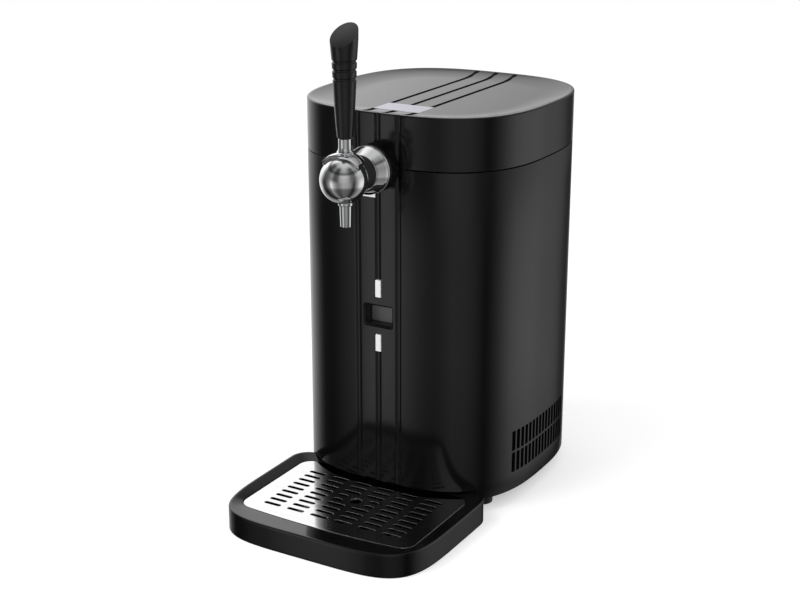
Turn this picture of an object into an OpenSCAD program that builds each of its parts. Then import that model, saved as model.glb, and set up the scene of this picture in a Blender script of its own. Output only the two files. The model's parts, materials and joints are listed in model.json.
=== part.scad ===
// Mini keg beer dispenser for the counter. Millimetres, +Z up, front towards -Y.
// The origin is the middle of the footprint on the table.

/* [Body] */
// Width of the body
body_w = 242; // [236:1:250]
// Depth of the body without the tray
body_d = 253; // [246:1:260]
// Squareness of the body's plan, 2 is an ellipse
plan_power = 2.85; // [2.6:0.05:3.2]
// Wall thickness of casing and lid
wall = 3; // [2.5:0.5:3.5]
// Height of the casing's lower edge above the table
body_bottom = 15; // [14:1:16]
// Height of the seam between casing and lid, and of the tap's axis
seam_z = 350; // [348:1:352]
// Height of the lid's rim
lid_z = 401.2; // [399:0.2:404]
// Depth of the dish in the lid's top
dish_depth = 3.8; // [3:0.2:4.4]

/* [Grooves] */
// Distance between the decorative grooves
groove_pitch = 22.5; // [20:0.5:24]
// Width of a groove in the front, with its soft shoulders
groove_w = 7.2; // [6:0.4:7.6]
// Width of a groove in the lid's top
top_groove_w = 3.6; // [3:0.2:4.4]
// Depth of a groove in the front
groove_depth = 1.2; // [0.6:0.2:1.4]

/* [Display and keys] */
// Width of the display opening
window_w = 31; // [28:1:34]
// Height of the display opening
window_h = 21; // [18:1:22]
// Height of the display's middle above the table
window_z = 201; // [198:1:204]
// Depth of the display recess
window_depth = 15; // [12:1:16]
// Width of a key
key_w = 7.4; // [6.5:0.1:8]
// Height of a key
key_h = 18.8; // [17:0.2:20]
// Distance from the display's middle to a key's middle
key_offset = 27.8; // [26:0.2:29]
// How far a key stands out of the casing
key_proud = 2.4; // [1.6:0.2:3]
// Travel of a key
key_travel = 1; // [0.6:0.1:1]

/* [Vents] */
// Slots in one row on each side
vent_columns = 16; // [12:1:16]
// Distance between slots
vent_pitch = 7.4; // [7:0.1:7.6]
// Width of a slot
vent_w = 3.6; // [3:0.2:4]
// Height of a slot
vent_h = 20.6; // [19:0.2:20.8]
// Height of the lowest slot's lower end
vent_z = 34.6; // [34:0.2:35]

/* [Keg well] */
// Diameter of the standard 5 litre keg
keg_d = 172; // [170:1:174]
// Room around the keg
keg_gap = 4.4; // [3:0.2:5]
// Height of the well's floor
well_floor_z = 90; // [90:1:92]

/* [Tap] */
// Distance of the tap ball's centre in front of the body
tap_reach = 59.5; // [58:0.5:62]
// Radius of the tap ball
ball_r = 22.4; // [22:0.1:23]
// Radius of the lever's stem
stem_r = 6.2; // [5.8:0.1:6.6]
// Height of the handle's lower end
handle_z = 388; // [387:1:390]
// Height of the middle of the handle's slanted top
handle_top_z = 480.5; // [478:0.5:484]
// Slope of the handle's top
handle_slant = 37.2; // [30:0.2:40]
// Length of the spout below the ball
spout_len = 20; // [16:1:24]

/* [Drip tray] */
// Width of the tray
tray_w = 223.5; // [218:0.5:228]
// Distance of the tray's front edge ahead of the body
tray_reach = 138.5; // [136:0.5:144]
// Height of the tray's rim
tray_h = 24.5; // [24:0.1:25]
// Width of the perforated plate
grid_w = 192.5; // [188:0.5:197]
// Height of the plate's upper face
grid_z = 21.5; // [21:0.1:22]

/* [Hidden] */
$fn = 64;

// All shapes are drawn about the body's own axis, then moved so that the footprint is centred.
half_w = body_w / 2;
half_d = body_d / 2;
front_y = -half_d;
hinge_y = half_d + 5;
hinge_r = 4;
tray_front = front_y - tray_reach;
body_shift = -(tray_front + hinge_y + hinge_r) / 2;
eps = 0.05;
plan_steps = 96;

seam_gap = 0.3;
casing_top = seam_z - seam_gap;
lid_bottom = seam_z + seam_gap;
dish_z = lid_z - dish_depth;
rim_inset = 3;
floor_inset = 36;
plate_half = 25;
groove_x = [-groove_pitch, 0, groove_pitch];
key_z = [window_z - key_offset, window_z + key_offset];

tap_y = front_y - tap_reach;
tap_hole_r = 20.4;
shank_r = 9;
nut_y = front_y + 8.5;
bracket_half = 28;
collar_front = front_y - 30;
collar_back = front_y - 15;
seal_front = tap_y + 16;
stem_y = tap_y + 3;
spout_y = tap_y + 3;
lever_gap = 0.35;
cap_r = 26;
cap_half = 19.3;
collar_r = 23.4;
neck_r = 22.4;
nose_arm = 7;
board_y = front_y + window_depth + 6.1;

pan_z = body_bottom + 0.2;
pan_top = pan_z + 3;
shelf_z = 25.7;
riser_y = -95;
tray_rear = -98;
tray_corner = 20;
tray_mid = -145;
tray_power = 4.9;
tongue_x = [-60, 60];
tongue_z = 18.6;
grid_front = -239;
grid_rear = -112;
grid_corner = 14;
grid_bow_r = 860;

foam_bottom = 80;
foam_top = 342;
well_r = keg_d / 2 + keg_gap;
well_wall = 1.6;
well_lugs = 12;
deck_z = 343.8;
deck_t = 3.2;
liner_z = seam_z + 2.2;
liner_t = 2.4;
dome_r = 56;
dome_z = 388;
pocket_y = -99.5;

foot_spots = [[-88, -68], [88, -68], [-88, 68], [88, 68]];
base_spots = [[-104, -62], [104, -62], [-104, 62], [104, 62]];
deck_spots = [[-82, -86], [82, -86], [-82, 86], [82, 86]];
pillar_spots = [[-75, -40], [75, -40], [-75, 45], [75, 45]];
leaf_screw_x = [-28, 28];
leaf_screw_z = [336, 364];
board_spots = [[-18, 151], [18, 151], [-18, 251], [18, 251]];
fan_y = 10;
fan_half = 40;
fan_hole = 35.75;
fan_bottom = pan_top + 0.2;
fan_h = 20;
sink_half = 50;
sink_base_z = 68;
fin_pitch = 7;

black = [0.03, 0.03, 0.032];
gloss_black = [0.02, 0.02, 0.022];
chrome = [0.78, 0.79, 0.8];
steel = [0.7, 0.7, 0.72];
white = [0.92, 0.92, 0.92];
foam_white = [0.9, 0.9, 0.87];
board_green = [0.05, 0.28, 0.12];
rubber_black = [0.06, 0.06, 0.06];

// ---- outlines and helpers ----

// A squircle with half axes a and b.
function squircle(a, b) = [
    for (i = [0:plan_steps - 1])
        let (t = 360 * i / plan_steps, c = cos(t), s = sin(t))
            [a * sign(c) * pow(abs(c), 2 / plan_power), b * sign(s) * pow(abs(s), 2 / plan_power)]
];

// How far the body's front lies at the given x.
function face_y(x) = -half_d * pow(1 - pow(abs(x) / half_w, plan_power), 1 / plan_power);

// The tray's plan, drawn in by e: a bowed front and two round rear corners.
function tray_front_arc(e) = [
    for (i = [0:36])
        let (t = 180 + 5 * i, c = cos(t), s = sin(t), p = 2 / tray_power)
            [(tray_w / 2 - e) * sign(c) * pow(abs(c), p),
             tray_mid - (tray_mid - tray_front - e) * pow(abs(s), p)]
];
function tray_rear_arc(e, side, from) = [
    for (i = [0:6])
        let (t = from + 15 * i, r = tray_corner - e)
            [side * (tray_w / 2 - tray_corner) + r * cos(t), tray_rear - tray_corner + r * sin(t)]
];
function tray_plan(e) = concat(tray_front_arc(e), tray_rear_arc(e, 1, 0), tray_rear_arc(e, -1, 90));

// The perforated plate's plan, drawn in by e: a slightly bowed front and four round corners.
function grid_corner_arc(e, side, y, from, to) = [
    for (i = [0:5])
        let (t = from + (to - from) * i / 5, r = grid_corner - e)
            [side * (grid_w / 2 - grid_corner) + r * cos(t), y + r * sin(t)]
];
function grid_plan(e) =
    let (x_end = grid_w / 2 - grid_corner, rise = x_end * x_end / (2 * grid_bow_r),
         y_low = grid_front + rise + grid_corner, y_high = grid_rear - grid_corner)
    concat(
        [for (i = [-6:6]) let (x = x_end * i / 7) [x, grid_front + e + x * x / (2 * grid_bow_r)]],
        grid_corner_arc(e, 1, y_low, -84, 0), grid_corner_arc(e, 1, y_high, 0, 90),
        grid_corner_arc(e, -1, y_high, 90, 180), grid_corner_arc(e, -1, y_low, 180, 264)
    );

module centred() {
    translate([0, body_shift, 0]) children();
}

module plan_prism(inset, z0, z1) {
    translate([0, 0, z0]) linear_extrude(z1 - z0) polygon(squircle(half_w - inset, half_d - inset));
}

module box(x0, x1, y0, y1, z0, z1) {
    translate([x0, y0, z0]) cube([x1 - x0, y1 - y0, z1 - z0]);
}

module post(x, y, r, z0, z1) {
    translate([x, y, z0]) cylinder(r = r, h = z1 - z0);
}

// A round bar along Y at the tap's height.
module rod_y(r, y0, y1, z = seam_z, x = 0) {
    translate([x, y0, z]) rotate([-90, 0, 0]) cylinder(r = r, h = y1 - y0);
}

module rod_x(r, x0, x1, y, z) {
    translate([x0, y, z]) rotate([0, 90, 0]) cylinder(r = r, h = x1 - x0);
}

// A profile of [radius, y] points turned about the tap's axis.
module turned_y(points) {
    translate([0, 0, seam_z]) rotate([-90, 0, 0]) rotate_extrude() polygon(points);
}

// A profile of [radius, z] points turned about an upright axis.
module turned_z(points, y = 0) {
    translate([0, y, 0]) rotate_extrude() polygon(points);
}

// A side view of [y, z] points given a width along X.
module side_profile(points, x0, x1) {
    translate([x0, 0, 0]) rotate([90, 0, 90]) linear_extrude(x1 - x0) polygon(points);
}

// Room behind the wall for the tap's bracket.
module bracket_pocket() {
    box(-bracket_half - 0.5, bracket_half + 0.5, -half_d, nut_y + 0.5, seam_z - 26.5, seam_z);
}

// ---- casing and base ----

module vent_slots() {
    for (side = [-1, 1], i = [0:vent_columns - 1], row = [0, 1]) {
        y = -57.5 + vent_pitch * i;
        z = vent_z + row * (vent_h + 3.3);
        x0 = side > 0 ? half_w - 14 : -half_w - 1;
        box(x0, x0 + 15, y - vent_w / 2, y + vent_w / 2, z, z + vent_h);
    }
    for (side = [-1, 1], i = [0:5], row = [0, 1]) {
        x = side * (26 + vent_pitch * i);
        z = vent_z + row * (vent_h + 3.3);
        box(x - vent_w / 2, x + vent_w / 2, half_d - 12, half_d + 1, z, z + vent_h);
    }
}

// A groove's section in the front: two sloping shoulders and a narrow floor.
function groove_section(y) = [
    [-groove_w / 2, y - 1], [-groove_w / 2, y], [-1.4, y + 0.55 * groove_depth], [-0.9, y + groove_depth],
    [0.9, y + groove_depth], [1.4, y + 0.55 * groove_depth], [groove_w / 2, y], [groove_w / 2, y - 1]
];

module front_groove(x, z0, z1) {
    translate([x, 0, z0]) linear_extrude(z1 - z0) polygon(groove_section(face_y(x)));
}

module front_grooves(z0, z1) {
    for (x = groove_x)
        front_groove(x, z0, z1);
}

module casing_bosses() {
    for (p = base_spots) {
        post(p[0], p[1], 5, pan_top, 33);
        box(min(p[0], sign(p[0]) * 114), max(p[0], sign(p[0]) * 114), p[1] - 1.5, p[1] + 1.5, pan_top + 1, 32);
    }
    for (p = deck_spots) {
        post(p[0], p[1], 5, 318, deck_z - eps);
        translate([p[0], p[1], 319])
            rotate(atan2(p[1], p[0]))
                translate([0, -1.5, 0]) cube([17, 3, deck_z - 320]);
    }
    for (p = board_spots)
        rod_y(3, front_y + 1, board_y - eps, p[1], p[0]);
}

module casing() {
    centred() color(black) difference() {
        union() {
            difference() {
                plan_prism(0, body_bottom, casing_top);
                plan_prism(wall, body_bottom - 1, casing_top + 1);
            }
            intersection() {
                casing_bosses();
                plan_prism(1, body_bottom, casing_top);
            }
        }
        front_grooves(window_z + key_offset + key_h / 2, casing_top + 1);
        front_grooves(body_bottom - 1, window_z - key_offset - key_h / 2);
        for (x = [-groove_pitch, groove_pitch])
            front_groove(x, key_z[0] - key_h, key_z[1] + key_h);
        vent_slots();
        box(-window_w / 2, window_w / 2, front_y - 1, front_y + 6,
            window_z - window_h / 2, window_z + window_h / 2);
        for (z = key_z)
            box(-key_w / 2 - 0.3, key_w / 2 + 0.3, front_y - 1, front_y + 6,
                z - key_h / 2 - 0.3, z + key_h / 2 + 0.3);
        rod_y(tap_hole_r, front_y - 2, front_y + 8);
        translate([0, 0, body_bottom - 1]) linear_extrude(shelf_z - body_bottom + 0.8) polygon(tray_plan(-1));
        for (p = base_spots)
            post(p[0], p[1], 1.5, pan_top - 1, 31);
        for (p = deck_spots)
            post(p[0], p[1], 1.5, 325, deck_z + 1);
        for (x = leaf_screw_x)
            rod_y(1.5, half_d - 8, half_d + 1, leaf_screw_z[0], x);
        for (p = board_spots)
            rod_y(1.2, board_y - 9, board_y + 1, p[1], p[0]);
        box(-11.2, 11.2, half_d - 8, half_d + 1, 38, 55);
    }
}

module base_pan() {
    centred() color(black) difference() {
        union() {
            difference() {
                plan_prism(wall + 0.4, pan_z, pan_top);
                box(-half_w, half_w, -half_d, riser_y, pan_z - 1, pan_top + 1);
            }
            intersection() {
                union() {
                    box(-half_w, half_w, -half_d, riser_y + 2.5, shelf_z, shelf_z + 2.5);
                    box(-half_w, half_w, riser_y, riser_y + 2.5, pan_z, shelf_z + 2.5);
                }
                plan_prism(wall + 0.4, pan_z, shelf_z + 3);
            }
            for (p = pillar_spots)
                post(p[0], p[1], 5, pan_z, foam_bottom - eps);
        }
        difference() {
            post(0, fan_y, 37, pan_z - 1, pan_top + 1);
            for (i = [-4:4])
                box(i * 8 - 1.2, i * 8 + 1.2, fan_y - 38, fan_y + 38, pan_z - 1, pan_top + 1);
        }
        for (p = foot_spots)
            post(p[0], p[1], 2.05, pan_z - 1, pan_top + 1);
        for (p = base_spots)
            post(p[0], p[1], 1.6, pan_z - 1, pan_top + 1);
        for (sx = [-1, 1], sy = [-1, 1])
            post(sx * fan_hole, fan_y + sy * fan_hole, 1.6, pan_z - 1, pan_top + 1);
        for (x = tongue_x)
            box(x - 8.5, x + 8.5, riser_y - 1, riser_y + 4, tongue_z - 0.5, tongue_z + 4.5);
    }
}

module rubber_feet() {
    centred() color(rubber_black) for (p = foot_spots)
        difference() {
            union() {
                post(p[0], p[1], 10, 1, pan_z);
                translate([p[0], p[1], 0]) cylinder(r1 = 9, r2 = 10, h = 1);
            }
            post(p[0], p[1], 4.6, -1, 7);
            post(p[0], p[1], 2.1, 6, pan_z + 1);
        }
}

module foot_screws() {
    centred() color(steel) for (p = foot_spots) {
        post(p[0], p[1], 4, 4, 7);
        post(p[0], p[1], 2, 6, pan_top + 3);
    }
}

module base_screws() {
    centred() color(steel) for (p = base_spots) {
        post(p[0], p[1], 3.2, pan_z - 1.8, pan_z);
        post(p[0], p[1], 1.45, pan_z - 1, 30);
    }
}

// ---- cold space ----

module insulation() {
    centred() color(foam_white) difference() {
        plan_prism(wall + 0.6, foam_bottom, foam_top);
        post(0, 0, well_r + well_wall + 0.3, well_floor_z - well_wall - 0.4, foam_top + 1);
        box(-31, 31, fan_y - 31, fan_y + 31, foam_bottom - 1, well_floor_z);
        box(-27, 27, -half_d, pocket_y, 140, 262);
        box(-21, 21, -half_d, pocket_y, 326, foam_top + 1);
        bracket_pocket();
        for (p = deck_spots) {
            post(p[0], p[1], 6, 316, foam_top + 1);
            translate([p[0], p[1], 316]) rotate(atan2(p[1], p[0]))
                translate([0, -2.5, 0]) cube([30, 5, 30]);
        }
    }
}

// The well hangs on the foam's rim by a row of lugs.
module keg_well() {
    centred() color(steel) difference() {
        union() {
            post(0, 0, well_r + well_wall, well_floor_z - well_wall, foam_top + 1.6);
            for (i = [0:well_lugs - 1])
                rotate((i + 0.5) * 360 / well_lugs)
                    box(well_r + 0.8, well_r + 8.6, -8, 8, foam_top, foam_top + 1.6);
        }
        post(0, 0, well_r, well_floor_z, foam_top + 3);
    }
}

module deck_ring() {
    centred() color(black) difference() {
        plan_prism(wall + 0.4, deck_z, deck_z + deck_t);
        post(0, 0, well_r + 0.8, deck_z - 1, deck_z + deck_t + 1);
        box(-21, 21, -half_d, -80, deck_z - 1, deck_z + deck_t + 1);
        bracket_pocket();
        for (p = deck_spots)
            post(p[0], p[1], 1.6, deck_z - 1, deck_z + deck_t + 1);
    }
}

module deck_screws() {
    centred() color(steel) for (p = deck_spots) {
        post(p[0], p[1], 3, deck_z + deck_t, deck_z + deck_t + 1.8);
        post(p[0], p[1], 1.45, 327, deck_z + deck_t + 1);
    }
}

module cold_plate() {
    centred() color(steel) difference() {
        box(-30, 30, fan_y - 30, fan_y + 30, sink_base_z + 9.8, well_floor_z - well_wall);
        for (sx = [-1, 1], sy = [-1, 1])
            post(sx * 24.5, fan_y + sy * 24.5, 1.65, sink_base_z + 9, sink_base_z + 17);
    }
}

module peltier_module() {
    centred() color(white)
        box(-20, 20, fan_y - 20, fan_y + 20, sink_base_z + 6, sink_base_z + 9.8);
}

module heatsink() {
    centred() color(steel) difference() {
        union() {
            box(-sink_half, sink_half, fan_y - sink_half, fan_y + sink_half, sink_base_z, sink_base_z + 6);
            for (i = [-7:7])
                box(i * fin_pitch - 0.8, i * fin_pitch + 0.8, fan_y - sink_half, fan_y + sink_half,
                    fan_bottom + fan_h + 4, sink_base_z + 1);
        }
        for (sx = [-1, 1], sy = [-1, 1])
            post(sx * 24.5, fan_y + sy * 24.5, 1.7, sink_base_z - 1, sink_base_z + 7);
    }
}

module heatsink_screws() {
    centred() color(steel) for (sx = [-1, 1], sy = [-1, 1]) {
        post(sx * 24.5, fan_y + sy * 24.5, 2.5, sink_base_z - 2, sink_base_z);
        post(sx * 24.5, fan_y + sy * 24.5, 1.6, sink_base_z - 1, sink_base_z + 16);
    }
}

module fan_frame() {
    centred() color(black) translate([0, fan_y, fan_bottom]) difference() {
        union() {
            difference() {
                translate([-fan_half, -fan_half, 0]) cube([2 * fan_half, 2 * fan_half, fan_h]);
                translate([0, 0, -1]) cylinder(r = 38.4, h = fan_h + 2);
            }
            cylinder(r = 15, h = 2.4);
            for (a = [0, 120, 240])
                rotate(a + 30) translate([0, -1.5, 0]) cube([39.2, 3, 2.4]);
        }
        for (sx = [-1, 1], sy = [-1, 1])
            translate([sx * fan_hole, sy * fan_hole, -1]) cylinder(r = 1.8, h = fan_h + 2);
    }
}

module fan_shaft() {
    centred() color(steel) post(0, fan_y, 1.45, fan_bottom + 2.4, fan_bottom + 16);
}

module fan_rotor() {
    centred() color(black) translate([0, fan_y, fan_bottom]) difference() {
        union() {
            translate([0, 0, 3.2]) cylinder(r = 15, h = 15);
            intersection() {
                translate([0, 0, 3.4]) cylinder(r = 37.6, h = 14.6);
                for (i = [0:6])
                    rotate(i * 360 / 7) translate([13, 0, 10.7]) rotate([38, 0, 0])
                        translate([0, -12, -0.8]) cube([26, 24, 1.6]);
            }
        }
        translate([0, 0, 2]) cylinder(r = 1.5, h = 14.4);
    }
}

module fan_screws() {
    centred() color(steel) for (sx = [-1, 1], sy = [-1, 1]) {
        post(sx * fan_hole, fan_y + sy * fan_hole, 2.8, pan_z - 1.8, pan_z);
        post(sx * fan_hole, fan_y + sy * fan_hole, 1.5, pan_z - 1, fan_bottom + fan_h + 2);
    }
}

module power_board() {
    centred() color(board_green) union() {
        box(-52, 52, 68, 104, 24, 25.6);
        for (x = [-48, 48], y = [72, 100])
            post(x, y, 2.5, pan_top, 24.5);
        box(-46, -18, 73, 99, 25, 47);
        box(-12, 0, 76, 96, 25, 39);
        for (x = [12, 28])
            post(x, 80, 6.5, 25, 45);
        box(20, 46, 90, 96, 25, 41);
    }
}

module power_inlet() {
    centred() color(black) union() {
        difference() {
            union() {
                box(-11, 11, 110, half_d + 1, 38.2, 54.8);
                difference() {
                    box(-15, 15, half_d - 3, half_d + 2, 34.5, 58.5);
                    plan_prism(-eps, 30, 62);
                }
            }
            box(-8, 8, 113.5, half_d + 4, 42, 51);
        }
        for (x = [-4.3, 4.3])
            rod_y(1.2, 112, half_d - 1, 46.5, x);
    }
}

// ---- lid ----

// The dish's sloping wall: distances from the lid's edge, and shares of the dish's depth there.
dish_inset = [rim_inset, 8, 16, 26, floor_inset];
dish_share = [0, 0.3, 0.67, 0.93, 1];

module dish() {
    for (i = [0:3])
        hull() {
            plan_prism(dish_inset[i], lid_z - dish_depth * dish_share[i], lid_z + 1 + i / 10);
            plan_prism(dish_inset[i + 1], lid_z - dish_depth * dish_share[i + 1], lid_z + 1 + i / 10);
        }
}

// The line of the grooves through the dish, as the cutter's side view.
groove_floor = dish_z - 1.6;
groove_bend = lid_z - dish_depth * dish_share[2] - 1.4;
groove_top_line = [
    [front_y + 12, lid_z - dish_depth / 2], [front_y + 16, groove_bend],
    [front_y + floor_inset, groove_floor], [half_d - floor_inset, groove_floor],
    [half_d - 16, groove_bend], [half_d - 4.5, lid_z - 1.4],
    [half_d - 4.5, lid_z + 2], [front_y + 12, lid_z + 2]
];

module lid_shell() {
    centred() color(black) difference() {
        union() {
            plan_prism(0, lid_bottom, lid_z - 1.4);
            plan_prism(0.5, lid_z - 1.5, lid_z - 0.5);
            plan_prism(1.4, lid_z - 0.6, lid_z);
        }
        plan_prism(wall, lid_bottom - 1, dish_z - wall);
        dish();
        front_grooves(lid_bottom - 1, lid_z + 1);
        for (x = groove_x)
            side_profile(groove_top_line, x - top_groove_w / 2, x + top_groove_w / 2);
        box(-plate_half - 0.2, plate_half + 0.2, -92.2, -61.2, dish_z - 0.9, dish_z + 1);
        rod_y(tap_hole_r, front_y - 2, front_y + 8);
        for (x = leaf_screw_x)
            rod_y(1.5, half_d - 8, half_d + 1, leaf_screw_z[1], x);
    }
}

// The way for the beer line, from the keg's head forward to the tap.
module line_passage() {
    box(-21, 21, -half_d, -40, seam_z - 20, 374);
}

module lid_foam() {
    centred() color(foam_white) difference() {
        plan_prism(wall + 0.6, liner_z + liner_t + 0.1, dish_z - wall - 0.1);
        post(0, 0, dome_r + 2.3, seam_z, dome_z + 2.3);
        line_passage();
    }
}

module lid_liner() {
    centred() color([0.75, 0.76, 0.77]) difference() {
        union() {
            plan_prism(wall + 0.4, liner_z, liner_z + liner_t);
            post(0, 0, dome_r + 2, liner_z, dome_z + 2);
        }
        post(0, 0, dome_r, liner_z - 1, dome_z);
        line_passage();
    }
}

module lid_gasket() {
    centred() color(rubber_black) difference() {
        post(0, 0, 106, deck_z + deck_t + 0.2, liner_z);
        post(0, 0, 100, deck_z + deck_t - 1, liner_z + 1);
        box(-22, 22, -half_d, 0, deck_z, liner_z + 1);
    }
}

module name_plate() {
    centred() color([0.78, 0.77, 0.82])
        box(-plate_half, plate_half, -92, -61.4, dish_z - 0.9, dish_z + 0.1);
}

// ---- hinge at the back ----

module knuckles(first) {
    for (i = [first:2:4])
        rod_x(hinge_r, -37.5 + 15 * i + 0.2, -22.5 + 15 * i - 0.2, hinge_y, seam_z);
}

module knuckle_tabs(first, z0, z1) {
    for (i = [first:2:4])
        box(-37.5 + 15 * i + 0.2, -22.5 + 15 * i - 0.2, half_d + eps, half_d + 2.3, z0, z1);
}

module leaf(first, z0, z1, tab0, tab1, screw_z) {
    difference() {
        union() {
            box(-37.5, 37.5, half_d - 5, half_d + 2.3, z0, z1);
            knuckle_tabs(first, tab0, tab1);
            knuckles(first);
        }
        plan_prism(-eps, z0 - 1, z1 + 1);
        rod_x(1.95, -40, 40, hinge_y, seam_z);
        for (x = leaf_screw_x)
            rod_y(1.6, half_d - 8, half_d + 4, screw_z, x);
    }
}

module hinge_lower_leaf() {
    centred() color(black) leaf(0, 326, 344, 343, seam_z, leaf_screw_z[0]);
}

module hinge_upper_leaf() {
    centred() color(black) leaf(1, 356, 374, seam_z, 357, leaf_screw_z[1]);
}

module hinge_pin() {
    centred() color(steel) union() {
        rod_x(1.9, -38, 38, hinge_y, seam_z);
        rod_x(3, -39, -37.8, hinge_y, seam_z);
        rod_x(3, 37.8, 39, hinge_y, seam_z);
    }
}

module leaf_screws(z) {
    for (x = leaf_screw_x) {
        rod_y(3, half_d + 2.3, half_d + 3.8, z, x);
        rod_y(1.45, half_d - 3.4, half_d + 3, z, x);
    }
}

module hinge_lower_screws() {
    centred() color(steel) leaf_screws(leaf_screw_z[0]);
}

module hinge_upper_screws() {
    centred() color(steel) leaf_screws(leaf_screw_z[1]);
}

// ---- tap ----

module tap_escutcheon() {
    centred() color(gloss_black) turned_y([
        [shank_r + 0.1, front_y + wall - 0.2], [20, front_y + wall - 0.2], [20, front_y - eps],
        [23.5, front_y - eps],
        [23.5, collar_back + 1.8], [21.8, collar_back + 0.1], [shank_r + 0.1, collar_back + 0.1]
    ]);
}

module tap_bracket() {
    centred() color(steel) difference() {
        intersection() {
            box(-bracket_half, bracket_half, front_y, nut_y - eps, seam_z - 26, casing_top);
            plan_prism(wall + 0.1, seam_z - 30, seam_z);
        }
        rod_y(shank_r + 0.1, front_y, nut_y + 1);
    }
}

module tap_nut() {
    centred() color(steel) difference() {
        translate([0, nut_y, seam_z]) rotate([-90, 0, 0]) cylinder(r = 15, h = 7, $fn = 6);
        rod_y(shank_r + 0.1, nut_y - 1, nut_y + 8);
    }
}

module tap_shank() {
    centred() color(chrome) difference() {
        union() {
            rod_y(shank_r, tap_y + 10, front_y + 18.5);
            rod_y(6, front_y + 18, front_y + 26.5);
        }
        rod_y(3.4, tap_y + 9, tap_y + 37);
        rod_y(5.2, tap_y + 36, front_y + 14);
        rod_y(4, front_y + 13, front_y + 28);
    }
}

module tap_collar() {
    centred() color(chrome) turned_y([
        [shank_r + 0.1, collar_back], [collar_r, collar_back], [collar_r, collar_back - 2],
        [neck_r, collar_back - 2.6], [22.1, collar_back - 5.5], [21.2, collar_back - 9],
        [19.5, collar_back - 12.4], [17.2, collar_front], [shank_r + 0.1, collar_front]
    ]);
}

module collar_tab() {
    centred() color(chrome) difference() {
        box(-10.2, 10.2, collar_back - 6.2, collar_back - 2.7, seam_z - 24.4, seam_z - 18);
        rod_y(neck_r + eps, collar_back - 8, collar_back);
    }
}

module tap_seals() {
    centred() color(rubber_black) turned_y([
        [shank_r + 0.1, collar_front - 0.1], [15.8, collar_front - 0.1], [16.4, collar_front - 1],
        [16.4, collar_front - 5.6], [15, collar_front - 6.6], [16.8, collar_front - 7.4],
        [16.8, seal_front + 1.2], [15.9, seal_front + 0.1], [shank_r + 0.1, seal_front + 0.1]
    ]);
}

module tap_ball() {
    centred() color(chrome) difference() {
        translate([0, tap_y, seam_z]) sphere(ball_r);
        box(-30, 30, seal_front, seal_front + 20, seam_z - 30, seam_z + 30);
        rod_y(shank_r + eps, tap_y + 10, tap_y + 20);
        rod_y(10, tap_y - 6, tap_y + 10.2);
        translate([0, tap_y, seam_z])
            side_profile([[4.3, 8], [8.2, 24], [-8.3, 24], [-4.4, 8]], -2.3, 2.3);
        rod_x(2, -30, 14, tap_y, seam_z);
        post(0, spout_y, 30, seam_z - 40, seam_z - 21.2);
        post(0, spout_y, 6.05, seam_z - 25, seam_z - 15);
        post(0, spout_y, 4, seam_z - 16, seam_z - 6);
    }
}

module lever_pin() {
    centred() color(steel) rod_x(1.95, -21.5, 13.9, tap_y, seam_z);
}

// The lever's cap seen from the side, relative to the ball's centre.
cap_side = [
    [-10.6, 28], [-8, 21.6], [-6.4, 14.6], [-3.8, 11.4], [-2.4, 12], [1.2, 14.7],
    [5, 16.8], [9, 18.4], [12, 20.2], [12, 28]
];

module lever_cap() {
    intersection() {
        difference() {
            sphere(cap_r);
            sphere(ball_r + lever_gap);
        }
        side_profile(cap_side, -cap_half, cap_half);
    }
}

module lever_tongue() {
    side_profile([[-1.9, 1], [3.1, 23.4], [6.5, 22.9], [1.9, -1]], -2, 2);
    rod_x(4, -2, 2, 0, 0);
    side_profile([[-2.6, 0], [0.4, -7.6], [3.6, -6.4], [2.6, 0]], -2, 2);
    rod_x(2, -2, 2, 2, -nose_arm);
}

module tap_lever() {
    centred() color(chrome) difference() {
        translate([0, tap_y, seam_z]) union() {
            lever_cap();
            lever_tongue();
            difference() {
                turned_z([[0, 18], [9.6, 22.6], [7.6, 25.6], [6.6, 27.4], [stem_r, 29.6],
                          [stem_r, handle_z - seam_z], [0, handle_z - seam_z]], stem_y - tap_y);
                sphere(ball_r + lever_gap);
            }
        }
        rod_x(2, -5, 5, tap_y, seam_z);
        post(0, stem_y, 4.05, handle_z - 13, handle_z + 1);
        translate([0, tap_y - 1.5, seam_z]) rotate([12, 0, 0])
            translate([0, 0, ball_r + 1.6]) cylinder(r = 3, h = 8);
    }
}

module lever_screw() {
    centred() color(steel) translate([0, tap_y - 1.5, seam_z]) rotate([12, 0, 0]) difference() {
        translate([0, 0, ball_r + 1.7]) cylinder(r = 2.9, h = 1.4);
        translate([0, 0, ball_r + 2.3]) cylinder(r = 1.4, h = 2, $fn = 6);
    }
}

module handle_stud() {
    centred() color(steel) post(0, stem_y, 4, handle_z - 12.8, handle_z + 21);
}

// Radius of the handle at a height above its lower end.
handle_profile = [
    [0, 0], [6.6, 0], [7.4, 1.2], [8.4, 12], [9.7, 32], [10.6, 50],
    [10.8, 52.6], [9.9, 53.4], [9.9, 54.6], [10.9, 55.4],
    [11.1, 60.6], [10.2, 61.4], [10.2, 62.6], [11.2, 63.4],
    [11.4, 68.2], [10.5, 69], [10.5, 70.2], [11.5, 71],
    [12.3, 80], [12.9, 90], [13, 104], [0, 104]
];

module tap_handle() {
    centred() color(black) difference() {
        translate([0, 0, handle_z]) turned_z(handle_profile, stem_y);
        post(0, stem_y, 4.05, handle_z - 1, handle_z + 22);
        translate([-30, stem_y, handle_top_z]) rotate([handle_slant, 0, 0])
            translate([0, -60, 0]) cube([60, 120, 40]);
    }
}

module valve_plunger() {
    centred() color(steel) union() {
        rod_y(8.2, tap_y + 4.4, tap_y + 6.4);
        rod_y(2.2, tap_y + 6, tap_y + 38);
        rod_y(4.4, tap_y + 37.2, tap_y + 39.2);
    }
}

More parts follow.
